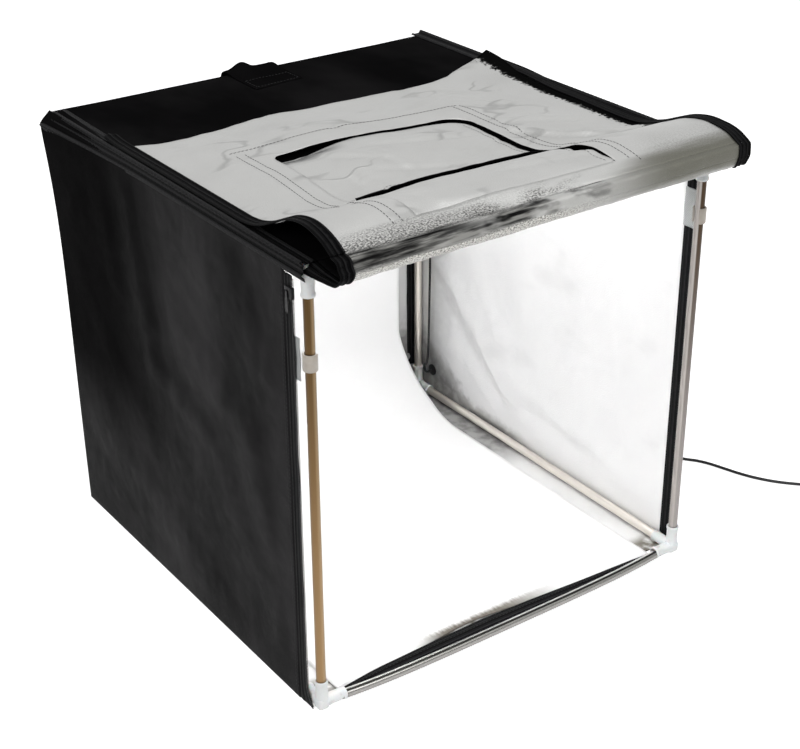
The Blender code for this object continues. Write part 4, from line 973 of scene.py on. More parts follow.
def binding_lay(sign):
    """Lay of a side binding, from under its lower cord up over the edge; the left one leans with its wall."""
    def lay(across, along):
        point = BINDING[round((across if sign < 0 else 1 - across) * (len(BINDING) - 1))]
        y = -0.2076 + along * BINDING_LENGTH
        hem = 0.0002 * math.sin(y * 1150.0 + point.y * 900.0)
        if sign > 0:
            return Vector((point.x + hem, y, point.y))
        depth = deeper(y)
        lean = depth * held((0.4000 - point.y) / 0.0115)
        cord = 0.0014 * depth * bump(point.y - 0.3948, 0.0011)
        end = max(0.0, (y - 0.1990) / 0.0088) ** 2
        outward = 0.0098 * lean - depth * 0.004 * max(0.0, 1 - lean) + 0.8 * cord - 0.0022 * end * lean
        drop = depth * 0.0032 * (1 - 0.6 * lean) * held((point.x - 0.1900) / 0.0100)
        sink = 0.0030 * end * held((point.y - 0.3900) / 0.0080)
        return Vector((-point.x - hem - outward, y - 0.0012 * end, point.y - drop + 0.6 * cord - sink))

    return lay


def corner_tape_lay(sign):
    """Lay of the tape inside a rear corner, from its inner edge out and up."""
    return lambda across, along: Vector((sign * (0.1832 + across * 0.0096),
                                         0.2050 + 0.0002 * math.sin(along * 60.0), 0.030 + along * 0.338))


def even_form(form):
    """Turn all faces of a form to one side."""
    bmesh.ops.recalc_face_normals(form, faces=form.faces)
    return form


for side, sign in SIDES:
    form = even_form(cloth_form(38, 150, binding_lay(sign), (0.030, 0.415)))
    binding = add_piece(f"{side}_seam_binding", form, [black_tape], "black_tape", [f"roof_binding_{side}"],
                        sharp=70.0)
    if max(binding.data.polygons, key=lambda face: face.center.z).normal.z < 0:
        binding.data.flip_normals()
    thicken(binding, 0.0005)
for side, sign in SIDES:
    form = even_form(cloth_form(4, 80, corner_tape_lay(sign), (0.009, 0.338)))
    tape = add_piece(f"{side}_corner_tape", form, [black_tape], "black_tape")
    if tape.data.polygons[0].normal.y > 0:
        tape.data.flip_normals()
    thicken(tape, 0.0005)


# Zips
# A moulded nylon coil sewn to a woven tape along the front edges of both walls and of the floor. The door's
# tapes carry the other half. A die-cast slider with a pull waits at the top of each side.

zip_nylon = Finish("zip_nylon", (0.010, 0.010, 0.011), 0.3, specular=0.5)
nylon_wear = zip_nylon.grain(zip_nylon.place(), 700.0, 2.0)
zip_nylon.coated((0.007, 0.007, 0.008), (nylon_wear, (0.020, 0.020, 0.021)))
zip_nylon.give("Roughness", 0.22 + 0.2 * nylon_wear)

COIL_PITCH = 0.0016
COIL_RADIUS = 0.0009
COIL_WIRE = 0.0006
COIL_CORNERS = 6
ZIP_TAPE_THICKNESS = 0.0007
ZIP_FOOT = 0.0008
ZIP_RUN = 0.3817


def tube_piece(name, points, diameter, finish, slot, body="tent", rounding=4):
    """A cord along the points as a mesh tube."""
    drawn = round_line(name + "_line", points, diameter, finish, rounding)
    bpy.context.scene.collection.objects.link(drawn)
    mesh = bpy.data.meshes.new_from_object(drawn)
    bpy.data.objects.remove(drawn, do_unlink=True)
    mesh.name = name
    return bring_in(bpy.data.objects.new(name, mesh), slot, body)


def zip_coil(name, line):
    """A nylon coil wound round a line of places."""
    run = line_length(line)
    steps = int(run / COIL_PITCH) * COIL_CORNERS
    points, travelled, index = [], 0.0, 0
    for step in range(steps + 1):
        wanted = run * step / steps
        while index < len(line) - 2 and travelled + (line[index + 1] - line[index]).length < wanted:
            travelled += (line[index + 1] - line[index]).length
            index += 1
        stretch = line[index + 1] - line[index]
        centre = line[index] + stretch * min(1.0, (wanted - travelled) / stretch.length)
        first = stretch.cross(Vector((0.31, 0.62, 0.72))).normalized()
        second = stretch.normalized().cross(first)
        angle = 2 * math.pi * step / COIL_CORNERS
        points.append(centre + (first * math.cos(angle) + second * math.sin(angle)) * COIL_RADIUS)
    tube_piece(name, points, COIL_WIRE, zip_nylon, "black_tape", rounding=0)


def tape_flare(z):
    """How far a wall's zip tape swings forward to the floor's corner."""
    return 0.0078 * bump(z, 0.0092)


def read_table(table, place):
    """Read a table of (place, value) with straight lines between its entries."""
    if place <= table[0][0]:
        return table[0][1]
    for before, after in zip(table, table[1:]):
        if place <= after[0]:
            return before[1] + (after[1] - before[1]) * (place - before[0]) / (after[0] - before[0])
    return table[-1][1]


def wall_tape_lay(sign):
    """Lay of a wall's zip tape, from the coil back to the seam and up."""
    def lay(across, along):
        z = ZIP_FOOT + along * ZIP_RUN
        y = -0.1894 + across * 0.0121 - tape_flare(z) * (1 - across)
        curl = 0.0008 * ripple(y, z, 26.0, 41.0) * (1 - across)
        ridge = 0.0004 * bump(across - 0.72, 0.09) + 0.0005 * bump(across - 0.05, 0.08)
        return Vector((sign * (0.2006 + ridge + curl), y, z))

    return lay


for side, sign in SIDES:
    form = cloth_form(16, 150, wall_tape_lay(sign), (0.012, 0.382))
    if sign < 0:
        bmesh.ops.reverse_faces(form, faces=form.faces)
    thicken(add_piece(f"{side}_front_zip_tape", form, [black_tape], "black_tape",
                      [f"{side}_wall_zip_tape"]), ZIP_TAPE_THICKNESS)
    zip_coil(f"{side}_front_zip_coil", [Vector((sign * 0.2003, -0.1892 - tape_flare(z), z)) for z in (
        0.0020, 0.005, 0.010, 0.018, 0.030, 0.050, 0.080, 0.3800)])

# Depth of the floor's seam across the tent, which bows forward towards the corners.
FLOOR_SEAM = [(-0.1835, -0.1941), (-0.1400, -0.1890), (-0.1270, -0.1880), (-0.0845, -0.1866),
              (-0.0185, -0.1852), (0.0360, -0.1876), (0.0912, -0.1912), (0.1497, -0.1941), (0.1830, -0.1971)]
FLOOR_ZIP = -0.2000
FLOOR_ZIP_LENGTH = 0.3588


def floor_tape_lay(across, along):
    """Place on the floor's zip tape, from the coil back and up to the seam, and to the right."""
    x = (along - 0.5) * FLOOR_ZIP_LENGTH
    y = FLOOR_ZIP + across * (read_table(FLOOR_SEAM, x) - FLOOR_ZIP)
    return Vector((x, y, 0.0014 + 0.0036 * across ** 0.8 + 0.0003 * bump(across - 0.75, 0.09)))


form = cloth_form(16, 150, floor_tape_lay, (0.012, FLOOR_ZIP_LENGTH))
bmesh.ops.reverse_faces(form, faces=form.faces)
thicken(add_piece("floor_front_zip_tape", form, [black_tape], "black_tape", ["floor_zip_tape"]),
        ZIP_TAPE_THICKNESS)
zip_coil("floor_front_zip_coil", [Vector((sign * 0.1790, -0.1996, 0.0012)) for sign in (-1, 1)])

slider_metal = Finish("slider_metal", (0.020, 0.020, 0.021), 0.38, metallic=0.6, specular=0.3)
slider_wear = slider_metal.rise(slider_metal.grain(slider_metal.place(), 500.0, 3.0), 0.5, 0.75)
slider_metal.coated((0.010, 0.010, 0.011), (slider_wear, (0.055, 0.053, 0.050)))
slider_metal.give("Roughness", 0.42 - 0.16 * slider_wear)

SLIDER_LIP = 0.0014
PULL_HALF = [(-0.0016, 0.0), (-0.0017, -0.0040), (-0.0024, -0.0075), (-0.0026, -0.0150), (-0.0020, -0.0174)]
PULL_OUTLINE = PULL_HALF + [(0.0, -0.0180)] + [(-y, z) for y, z in PULL_HALF[::-1]]


def raise_faces(form, step):
    """Extrude all faces of a form by a step."""
    grown = bmesh.ops.extrude_face_region(form, geom=form.faces[:])
    top = [part for part in grown["geom"] if isinstance(part, bmesh.types.BMVert)]
    bmesh.ops.translate(form, verts=top, vec=step)
    return even_form(form)


def add_slider(side, sign):
    """A slider's body, hooked round its tape's coil, and the pressed leaf of its pull."""
    low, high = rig.box(f"{side}_zip_slider")
    face = high.x if sign > 0 else low.x
    hook = [(sign * 0.2017, high.y), (sign * 0.2017, low.y + SLIDER_LIP), (sign * 0.2003, low.y + SLIDER_LIP),
            (sign * 0.2003, low.y), (face, low.y), (face, high.y - 0.0016), (sign * 0.2024, high.y)]
    form = bmesh.new()
    form.faces.new([form.verts.new((x, y, low.z)) for x, y in hook])
    raise_faces(form, (0, 0, high.z - low.z))
    bmesh.ops.bevel(form, geom=form.edges[:], offset=0.0003, offset_type="OFFSET", segments=2, profile=0.5,
                    affect="EDGES", material=-1)
    add_piece(f"{side}_slider", form, [slider_metal], "zip_metal", [f"{side}_zip_slider"], f"{side}_slider")
    low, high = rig.box(f"{side}_zip_pull")
    form = bmesh.new()
    middle = (low.y + high.y) / 2
    leaf = form.faces.new([form.verts.new((low.x, middle + y, high.z + z)) for y, z in PULL_OUTLINE])
    bmesh.ops.inset_individual(form, faces=[leaf], thickness=0.0007)
    raise_faces(form, (high.x - low.x, 0, 0))
    pressed = max((face for face in form.faces if abs(face.normal.x) > 0.9 and len(face.verts) > 6),
                  key=lambda face: sign * face.calc_center_median().x)
    bmesh.ops.translate(form, verts=pressed.verts, vec=(-sign * 0.0003, 0, 0))
    add_piece(f"{side}_pull_leaf", form, [slider_metal], "zip_metal", [f"{side}_zip_pull"], f"{side}_pull",
              25.0)


for side, sign in SIDES:
    add_slider(side, sign)


# Stitching
# Rows of black thread that hold tapes, hems and handle. Each stitch is a short bead of thread.

thread = Finish("black_thread", (0.016, 0.016, 0.017), 0.55, specular=0.3)
thread.give("Roughness", 0.45 + 0.25 * thread.grain(thread.place(), 2200.0))
UP = Vector((0, 0, 1))


def stitch_row(form, points, normal, length=0.0026, pitch=0.0036, gauge=0.00042):
    """Add a row of stitches along the points to a form, standing on a surface with that normal."""
    travelled, wanted = 0.0, pitch / 2
    for start, end in zip(points, points[1:]):
        step = (end - start).length
        while step > 0 and wanted <= travelled + step:
            middle = start.lerp(end, (wanted - travelled) / step)
            along = (end - start).normalized()
            across = normal.cross(along).normalized()
            turn = Matrix((along, across, along.cross(across))).transposed().to_4x4()
            size = Matrix.Diagonal((length / 2, gauge / 2, gauge / 2, 1.0))
            placing = Matrix.Translation(middle + normal * gauge * 0.15) @ turn @ size
            bmesh.ops.create_icosphere(form, subdivisions=1, radius=1.0, matrix=placing)
            wanted += pitch
        travelled += step


def row_over(lay, first, last, steps=60):
    """Points of a straight row over a laid cloth, from a first place on it to a last one."""
    return [lay(*[start + (end - start) * step / steps for start, end in zip(first, last)])
            for step in range(steps + 1)]


seams = bmesh.new()
for side, sign in SIDES:
    for x, y, top in ((0.2012, WALL_FRONT + 0.0015, 0.372), (0.2012, WALL_FRONT + 0.0045, 0.372),
                      (0.2010, -0.1808, 0.374)):
        row = row_over(lambda z: Vector((sign * x, y, z)), (0.010,), (top,))
        stitch_row(seams, row, Vector((sign, 0, 0)))
for across in (0.93, 0.70):
    stitch_row(seams, row_over(floor_tape_lay, (across, 0.01), (across, 0.99)), Vector((0, -0.35, 0.94)))
add_piece("cover_stitching", seams, [thread], "black_tape")


# Carry handle
# A wide strap of black webbing over the middle of the roof's rear edge, sewn to the roof and to the rear
# wall with a stitched box, and left slack enough between them to put fingers through.

HANDLE_WIDTH = 0.052
HANDLE_LENGTH = 0.112
HANDLE_LINE = smooth_curve([
    (0, 0.1520, 0.3982), (0, 0.1640, 0.3980), (0, 0.1780, 0.3982), (0, 0.1900, 0.3990), (0, 0.2000, 0.4006),
    (0, 0.2070, 0.4000), (0, 0.2108, 0.3965), (0, 0.2120, 0.3910), (0, 0.2120, 0.3840), (0, 0.2092, 0.3740),
    (0, 0.2082, 0.3640), (0, 0.2082, 0.3455)], 5)


def along_line(line, share):
    """Stretch of a line of points that a share of its run falls in, and the place there."""
    number = share * (len(line) - 1)
    index = min(int(number), len(line) - 2)
    return line[index + 1] - line[index], line[index].lerp(line[index + 1], number - index)


def handle_lay(across, along):
    """Place on the carry handle, from the left to the right, over the edge and down."""
    point = along_line(HANDLE_LINE, along)[1]
    crown = 0.0062 * bump(across - 0.34, 0.17) * bump(along - 0.40, 0.16)
    hem = 0.0005 * (bump(across - 0.05, 0.03) + bump(across - 0.95, 0.03))
    skew = 0.004 * (across - 0.5) * max(0.0, 1 - along * 3)
    return Vector((-0.024 + across * HANDLE_WIDTH - along * 0.003, point.y + skew,
                   point.z + crown + hem * (1 - along)))


handle_form = cloth_form(40, 90, handle_lay, (HANDLE_WIDTH, HANDLE_LENGTH))
handle = thicken(add_piece("carry_strap", handle_form, [black_cloth], "black_tape", ["carry_handle"],
                           sharp=70.0), 0.0013)
handle_stitches = bmesh.new()
for near, far, normal in ((0.02, 0.16, UP), (0.86, 0.98, Vector((0, 1, 0)))):
    for first, last in (((0.06, near), (0.94, near)), ((0.06, far), (0.94, far)),
                        ((0.06, near), (0.06, far)), ((0.94, near), (0.94, far))):
        stitch_row(handle_stitches, row_over(handle_lay, first, last, 20), normal)
add_piece("carry_strap_stitching", handle_stitches, [thread], "black_tape")
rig.sheet(handle, flat=(HANDLE_WIDTH, HANDLE_LENGTH), held="stretched", rests_on=["roof_panel", "rear_wall"])


# Backdrop
# One sheet of white polyester felt. A sleeve sewn to its top edge slides on the rear rail; the sheet hangs
# from it, sweeps forward in a soft curve and lies loose on the silver floor.

white_felt = Finish("white_felt", 0.86, 0.8, specular=0.2)
felt_cut, felt_place = white_felt.cut(), white_felt.place()
felt_fibre = white_felt.grain(felt_cut, 900.0, 4.0)
felt_streak = white_felt.grain(white_felt.stretched(felt_cut, 1.0, 0.25), 420.0, 3.0)
felt_x, felt_y = white_felt.part(felt_place, "X"), white_felt.part(felt_place, "Y")
# Painted shade: a streaky grey-brown band along the felt's front edge.
felt_edge_shade = white_felt.rise(felt_y + 0.006 * (felt_streak - 0.5), -0.1715, -0.1800) * white_felt.rise(
    felt_x, -0.096, -0.052) * white_felt.rise(felt_x, 0.095, 0.0)
white_felt.coated((0.83, 0.83, 0.835), (white_felt.grain(felt_cut, 12.0, 3.0), 0.88),
                  (felt_edge_shade, white_felt.tint(felt_streak, (0.10, 0.088, 0.068), (0.26, 0.24, 0.21))))
white_felt.give("Roughness", 0.7 + 0.2 * felt_fibre)
white_felt.relief(felt_fibre, 0.0003, 0.25)

SWEEP_RADIUS = 0.088
SWEEP_BACK = 0.188
SWEEP_FRONT = -0.1835
SWEEP_FLOOR = 0.0026
FLAT_RUN = SWEEP_BACK - SWEEP_RADIUS - SWEEP_FRONT
BACKDROP_WIDTH = 0.344
sweep_line = [Vector((0, SWEEP_FRONT + step * FLAT_RUN / 26, SWEEP_FLOOR)) for step in range(26)]
for step in range(25):
    turn = math.radians(90.0 * step / 24)
    sweep_line.append(Vector((0, SWEEP_BACK - SWEEP_RADIUS + SWEEP_RADIUS * math.sin(turn),
                              SWEEP_FLOOR + SWEEP_RADIUS * (1 - math.cos(turn)))))
sweep_line += [Vector((0, SWEEP_BACK, SWEEP_FLOOR + SWEEP_RADIUS + step * 0.0102)) for step in range(1, 28)]


def backdrop_lay(across, along):
    """Place on the backdrop, from the left to the right, back and up."""
    point = along_line(sweep_line, along)[1]
    x = (across - 0.5) * (BACKDROP_WIDTH - 0.024 * held((point.z - 0.015) / 0.07))
    near = max(0.0, (-0.12 - point.y) / 0.0635)
    point.y += near * (read_table(FLOOR_SEAM, x) + 0.1848 + 0.0034 * bump(x + 0.030, 0.040))
    hang = held((point.z - 0.09) / 0.08)
    point.y -= 0.0012 * hang * (1 + math.sin(x * 30.0 + point.z * 6.0))
    return Vector((x, point.y, point.z + 0.0008 * near ** 2))


backdrop = thicken(add_piece("backdrop_cloth", cloth_form(90, 150, backdrop_lay, (BACKDROP_WIDTH, 0.690)),
                             [white_felt], "white_backdrop", ["backdrop"]), 0.0008)
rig.sheet(backdrop, flat=(BACKDROP_WIDTH, 0.692), held="hung", rests_on=["backdrop_sleeve", "floor_panel"])

SLEEVE_WIDTH = 0.310
SLEEVE = smooth_curve([(0.1905, 0.352, 0), (0.1905, 0.366, 0), (0.1908, 0.378, 0), (0.1932, 0.3862, 0),
                       (0.1953, 0.3918, 0), (0.1978, 0.3950, 0), (0.2008, 0.3958, 0), (0.2036, 0.3945, 0),
                       (0.2050, 0.3915, 0), (0.2045, 0.3885, 0), (0.2020, 0.3864, 0), (0.1990, 0.3862, 0),
                       (0.1962, 0.3868, 0), (0.1938, 0.3840, 0), (0.1917, 0.3780, 0)], 4)


def sleeve_lay(across, along):
    """Place on the backdrop's sleeve, round the rear rail."""
    point = SLEEVE[round(across * (len(SLEEVE) - 1))]
    return Vector(((along - 0.5) * SLEEVE_WIDTH, point.x, point.y + 0.0002 * math.sin(along * 90.0)))


sleeve_form = even_form(cloth_form(len(SLEEVE) - 1, 80, sleeve_lay, (0.06, SLEEVE_WIDTH)))
thicken(add_piece("backdrop_rail_sleeve", sleeve_form, [white_felt], "white_backdrop", ["backdrop_sleeve"],
                  sharp=70.0), 0.0006)


# Light bars
# Two aluminium channels under the roof, each with hooks over the side rails. A board of light-emitting diodes
# is glued inside, and a frosted strip snaps into the channel's mouth. The bars are lit.

aluminium = Finish("bar_aluminium", (0.70, 0.70, 0.71), 0.34, metallic=1.0)
bar_lines = aluminium.grain(aluminium.stretched(aluminium.place(), 0.06), 900.0, 3.0)
aluminium.coated((0.60, 0.60, 0.61), (bar_lines, (0.78, 0.78, 0.79)))
aluminium.give("Roughness", 0.26 + 0.2 * bar_lines)
aluminium.relief(bar_lines, 0.00005, 0.4)

diode_board = Finish("diode_board", (0.80, 0.80, 0.78), 0.5)
board_place = diode_board.place()
board_chip = diode_board.rise(diode_board.part(board_place, "Z"), 0.37678, 0.37672)
board_print = diode_board.rise(diode_board.wave(diode_board.part(board_place, "X") * 414.0), 0.86, 0.9)
diode_board.coated((0.78, 0.78, 0.76), (board_print, (0.55, 0.42, 0.22)), (board_chip, (0.80, 0.66, 0.16)))
diode_board.give("Roughness", 0.55 - 0.2 * board_chip)

frosted = Finish("frosted_strip", 0.88, 0.5)
frost_ribs = frosted.wave(frosted.part(frosted.place(), "Y") * 4200.0)
frosted.give("Emission Color", (1.0, 0.995, 0.985, 1.0))
frosted.give("Emission Strength", 22.0)
frosted.coated(0.84, (0.5 + 0.5 * frost_ribs, 0.92))
frosted.relief(frost_ribs, 0.0001, 0.4)

for place in ("front", "rear"):
    for node, finish in ((f"light_bar_{place}", aluminium), (f"light_strip_{place}", diode_board),
                         (f"light_diffuser_{place}", frosted)):
        frame["nodes"][node].data.materials.clear()
        frame["nodes"][node].data.materials.append(finish.material)


# Leads
# Thin black leads from the back of each bar. They join behind the rear bar and go down the rear right post to
# the grommet.

LEAD_DIAMETER = 0.0024
LEAD_JOINT = (0.161, 0.0683, 0.367)
main_lead = [(0.150, 0.0413, 0.376), (0.150, 0.0503, 0.3738), LEAD_JOINT, (0.1931, 0.171, 0.358),
             (0.1955, 0.180, 0.331), (0.1955, 0.180, 0.203), (0.1931, 0.180, 0.057), (0.1883, 0.180, 0.039),
             (0.1907, 0.180, 0.030), (0.1977, 0.180, 0.030)]
branch_lead = [(0.150, -0.1187, 0.376), (0.150, -0.1097, 0.3738), (0.150, -0.0443, 0.3601),
               (0.1524, 0.021, 0.3661), (0.1524, 0.039, 0.3661), (0.161, 0.0683, 0.3668)]

for place, points in (("rear", main_lead), ("front", branch_lead)):
    line = smooth_curve(points, 6)
    lead = tube_piece(f"{place}_bar_lead", line, LEAD_DIAMETER, cord_rubber, "black_rubber", None)
    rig.replaces(lead, "light_lead")
    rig.blend(lead, f"{place}_light", "tent", start=tuple(line[0]), end=LEAD_JOINT)
    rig.cord(lead, exit=tuple(line[0]), length=round(line_length(line), 4), diameter=LEAD_DIAMETER,
            far_end="object", stiffness="limp", lay="hanging", path=[tuple(point) for point in line])


# Front door
# One sheet of the same silver-backed nylon, hemmed to the roof's front edge. It is thrown back over the roof
# with its silver side up, so that it bows over a loose roll at the front.

ROOF_EDGE = (-0.2066, 0.3966)
LOW_FOLD = (-0.2370, 0.3928)
HIGH_FOLD_Y = -0.2400
DOOR_REST = 0.3993
DOOR_HALF = 0.188
CLOTH_HALF = 0.1885
STRAND_LENGTH = 0.0306
ROLL_LENGTH = 0.036
DOOR_LENGTH = 0.352
HUMP = [(point.x, point.y) for point in smooth_curve([
    (0.0, 0.57, 0), (0.10, 0.80, 0), (0.22, 0.95, 0), (0.36, 1.0, 0), (0.52, 0.87, 0), (0.68, 0.58, 0),
    (0.84, 0.27, 0), (1.0, 0.07, 0), (1.15, 0.0, 0)], 4)]
FAR_EDGE = [(-1.0, 1.015), (-0.90, 0.995), (-0.75, 0.98), (-0.55, 0.987), (-0.30, 1.02), (0.0, 1.0),
            (0.30, 0.985), (0.55, 0.985), (0.72, 1.005), (0.86, 1.05), (1.0, 1.075)]
DOOR_FOLDS = [((-0.045, -0.067), (-0.040, -0.110), 0.0060, 0.0012),
              ((-0.089, -0.099), (-0.081, -0.141), 0.0060, 0.0014),
              ((-0.036, -0.054), (0.048, -0.073), 0.0060, 0.0022),
              ((-0.100, -0.045), (-0.045, -0.085), 0.0060, 0.0014),
              ((-0.060, -0.100), (0.010, -0.125), 0.0060, 0.0014),
              ((0.020, -0.110), (0.060, -0.092), 0.0050, 0.0018),
              ((0.083, -0.082), (0.130, -0.130), 0.0060, 0.0036),
              ((0.130, -0.130), (0.172, -0.145), 0.0070, 0.0034),
              ((0.095, -0.060), (0.150, -0.090), 0.0060, 0.0026),
              ((0.090, 0.000), (0.130, -0.030), 0.0060, 0.0020),
              ((0.100, 0.040), (0.120, 0.010), 0.0050, 0.0018),
              ((0.085, -0.150), (0.110, -0.185), 0.0060, 0.0026),
              ((-0.087, -0.226), (0.039, -0.246), 0.0080, 0.0036),
              ((-0.020, -0.196), (0.060, -0.205), 0.0060, 0.0020),
              ((-0.150, -0.150), (-0.100, -0.200), 0.0070, 0.0020),
              ((-0.060, 0.020), (-0.030, -0.010), 0.0050, 0.0016),
              ((-0.170, -0.050), (-0.150, 0.040), 0.0080, 0.0014),
              ((0.020, 0.020), (0.070, 0.060), 0.0070, 0.0016),
              ((0.040, 0.010), (0.100, 0.030), 0.0050, 0.0014),
              ((-0.100, 0.040), (-0.070, 0.070), 0.0060, 0.0014)]


def door_height(x, y):
    """Height of the open door's silver face over the roof."""
    share = (y - HIGH_FOLD_Y) / 0.108
    lower = (0.03 - 0.055 * (x / DOOR_HALF + 1)) * min(1.0, max(0.0, share) * 4)
    return DOOR_REST + 0.0255 * read_table(HUMP, share) * (1 + lower)


def door_rise(x, y):
    """How far the double cloth round the window bows up from the roof."""
    across = eased((x + 0.186) / 0.045) * (1 - 0.7 * eased((x + 0.09) / 0.17)) * eased((0.186 - x) / 0.06)
    along = 0.35 * eased((y + 0.215) / 0.06) * eased((x + 0.128) / 0.08) + 0.65 * eased((y + 0.150) / 0.09)
    return 0.0100 * across * along * eased((0.064 - y) / 0.058)


def door_swell(x, y):
    """Swell of the door's cloth from its folds and finer crinkles."""
    swell = folded(x, y, DOOR_FOLDS) + 0.0007 * ripple(x, y, 24.0, 51.0) + 0.00035 * ripple(x, y, 75.0, 53.0)
    return max(-0.0012, swell * held((y - HIGH_FOLD_Y) / 0.02 + 0.3))


def door_end(x):
    """Depth of the open door's free edge, which is cut by hand and waves a little."""
    wave = 0.0012 * math.sin(x * 46.0) + 0.0006 * math.sin(x * 131.0 + 1.0)
    return HIGH_FOLD_Y + 0.312 * read_table(FAR_EDGE, x / DOOR_HALF) + wave


def roll_place(x, share):
    """Place on the roll's silver side, from the low fold round the front to the high one, with crinkles."""
    reach = 0.0105 - 0.0225 * x
    section = smooth_curve([(0, LOW_FOLD[0], LOW_FOLD[1]), (0, LOW_FOLD[0] - reach / 2, 0.3944),
                            (0, LOW_FOLD[0] - reach, 0.4023), (0, HIGH_FOLD_Y - reach / 2, 0.4113),
                            (0, HIGH_FOLD_Y, 0.4140)], 8)
    way, point = along_line(section, held(share))
    crease = -0.0016 * bump(share - 0.62 - 0.04 * math.sin(x * 21.0), 0.07) * held((0.12 - x) / 0.25)
    crinkle = 0.0006 * noise.noise(Vector((x * 60.0, share * 3.0, 61.0)))
    crinkle += 0.0004 * noise.noise(Vector((x * 170.0, share * 7.0, 63.0)))
    swell = (crease + crinkle) * math.sin(math.pi * held(share)) ** 0.5
    return Vector((x, point.y, point.z)) + Vector((0, -way.z, way.y)).normalized() * swell


def strand_place(x, share):
    """Place on the strand between the roof's edge and the roll, which hangs a little."""
    y = ROOF_EDGE[0] + (LOW_FOLD[0] - ROOF_EDGE[0]) * share
    z = ROOF_EDGE[1] + (LOW_FOLD[1] - ROOF_EDGE[1]) * share
    wave = 0.0004 * noise.noise(Vector((x * 50.0, share * 2.0, 71.0)))
    hang = 0.0061 * held((abs(x) - 0.1915) / 0.009) ** 1.2 * (1 - share)
    return Vector((x, y, z + (wave - 0.0003) * math.sin(math.pi * share) - hang))


def panel_place(x, y):
    """Place on the door where it lies over the roof; its far right corner curls up over the tape."""
    edge = max(0.0, (x - 0.150) / 0.0385)
    curl = 0.0085 * edge ** 2 * eased((y - 0.025) / 0.075)
    return Vector((x + 0.0100 * edge * eased((y + 0.020) / 0.110), y,
                   door_height(x, y) + door_rise(x, y) + door_swell(x, y) + curl))


def door_film():
    """The door's silver film, with painted shade and reflections: dark creases, shade in the rear cover's dip, a
    ragged black band down its right edge, dark specks at the roll's right, and black, foil, bright and olive bands
    along its roll.
    """
    film = Finish("door_silver", (0.52, 0.52, 0.51), 0.42, metallic=0.6)
    rise, grain, tint, cut = film.rise, film.grain, film.tint, film.cut()
    u, v = film.part(cut, "X"), film.part(cut, "Y")
    bend, fine = grain(cut, 22.0, 3.0), grain(cut, 900.0, 3.0)
    streak = grain(film.stretched(cut, 0.10), 170.0, 4.0)
    patch = rise(grain(film.stretched(cut, 0.5), 55.0, 3.0), 0.36, 0.60)
    foil = rise(grain(film.stretched(cut, 0.5), 1100.0, 4.0), 0.36, 0.60)
    line = grain(film.stretched(cut, 0.8, 1.3), 17.0, 2.0) - 0.5
    # Painted shade in thin crease lines over the panel.
    crease = rise(line.worked("ABSOLUTE", line), 0.034, 0.0) * rise(grain(cut, 13.0, 1.0), 0.50, 0.62)
    crease = crease * rise(v, 0.040, 0.060)
    wave = v + 0.012 * (streak - 0.5)
    left, right = rise(u + 0.10 * (patch - 0.5), 0.040, -0.090), rise(u, 0.020, 0.120)
    brush = rise(streak, 0.38, 0.62)
    # Painted reflections along the roll: an olive band, stronger to the right, black and dark-foil bands on its left
    # part, and a bright band at its lower edge.
    olive_reflection = rise(wave, 0.006, 0.016) * rise(wave - 0.016 * right, 0.042, 0.024) * (0.25 + 0.65 * right)
    dark = rise(wave, 0.017, 0.021) * rise(wave, 0.040, 0.030) * left
    foil_reflection = rise(wave, 0.029, 0.036) * rise(wave, 0.054, 0.038) * left
    bright = rise(wave, 0.021, 0.017) * rise(u, 0.060, -0.020)
    # Painted reflection: dark specks over the roll's right part.
    speckle_reflection = (1.0 - foil) * rise(u, 0.080, 0.130) * rise(v, 0.085, 0.050)
    # Painted dark reflection: a ragged black band down the right edge.
    painted_dark_edge = rise(u + 0.020 * (grain(cut, 260.0, 5.0) - 0.5), 0.1735, 0.1785) * rise(v, 0.090, 0.150)
    inside = rise(v, 0.0015, -0.0015)
    # Painted shade where the rear cover dips at its left end.
    dip = rise(v + 0.016 * (streak - 0.5), 0.220, 0.237) * rise(v, 0.2410, 0.2400)
    dip = dip * rise(u, -0.052, -0.085) * rise(u, -0.1182, -0.1150)
    film.coated((0.46, 0.46, 0.45), (bend, (0.55, 0.55, 0.54)), (fine * 0.35, (0.40, 0.40, 0.39)),
                (dip * 0.9, 0.04), (crease * 0.55, (0.25, 0.25, 0.245)),
                (speckle_reflection * 0.45, (0.19, 0.19, 0.18)),
                (olive_reflection, (0.088, 0.086, 0.064)),
                (bright, tint(foil, (0.16, 0.158, 0.140), (0.66, 0.65, 0.62))),
                (foil_reflection * 0.75, tint(foil, (0.060, 0.060, 0.057), (0.46, 0.455, 0.44))),
                (dark, tint(brush, 0.004, (0.22, 0.218, 0.205))), (painted_dark_edge, 0.006), (inside, 0.03))
    film.give("Roughness", 0.34 + 0.24 * fine)
    # The black bands, the right edge band and the strand under the roll turn matt black.
    film.blacken(1.0 - (1.0 - painted_dark_edge) * (1.0 - inside) * (1.0 - 0.9 * dark * (1.0 - brush))
                 * (1.0 - 0.5 * foil_reflection * (1.0 - foil)), 0.004)
    film.relief(fine * 0.8 + bend * 2.0 + foil * (foil_reflection + bright) * 1.6 + streak * dark * 3.0 + crease * 1.2,
                0.0008, 0.5)
    return film


def part_form(place, columns, rows, low, high, length, start):
    """A full-width piece of the door from a low to a high share of a run, with its flat length and start."""
    return cloth_form(columns, rows, lambda across, along: place((2 * across - 1) * CLOTH_HALF,
                                                                 low + (high - low) * along),
                      (2 * CLOTH_HALF, length), (-CLOTH_HALF, start))


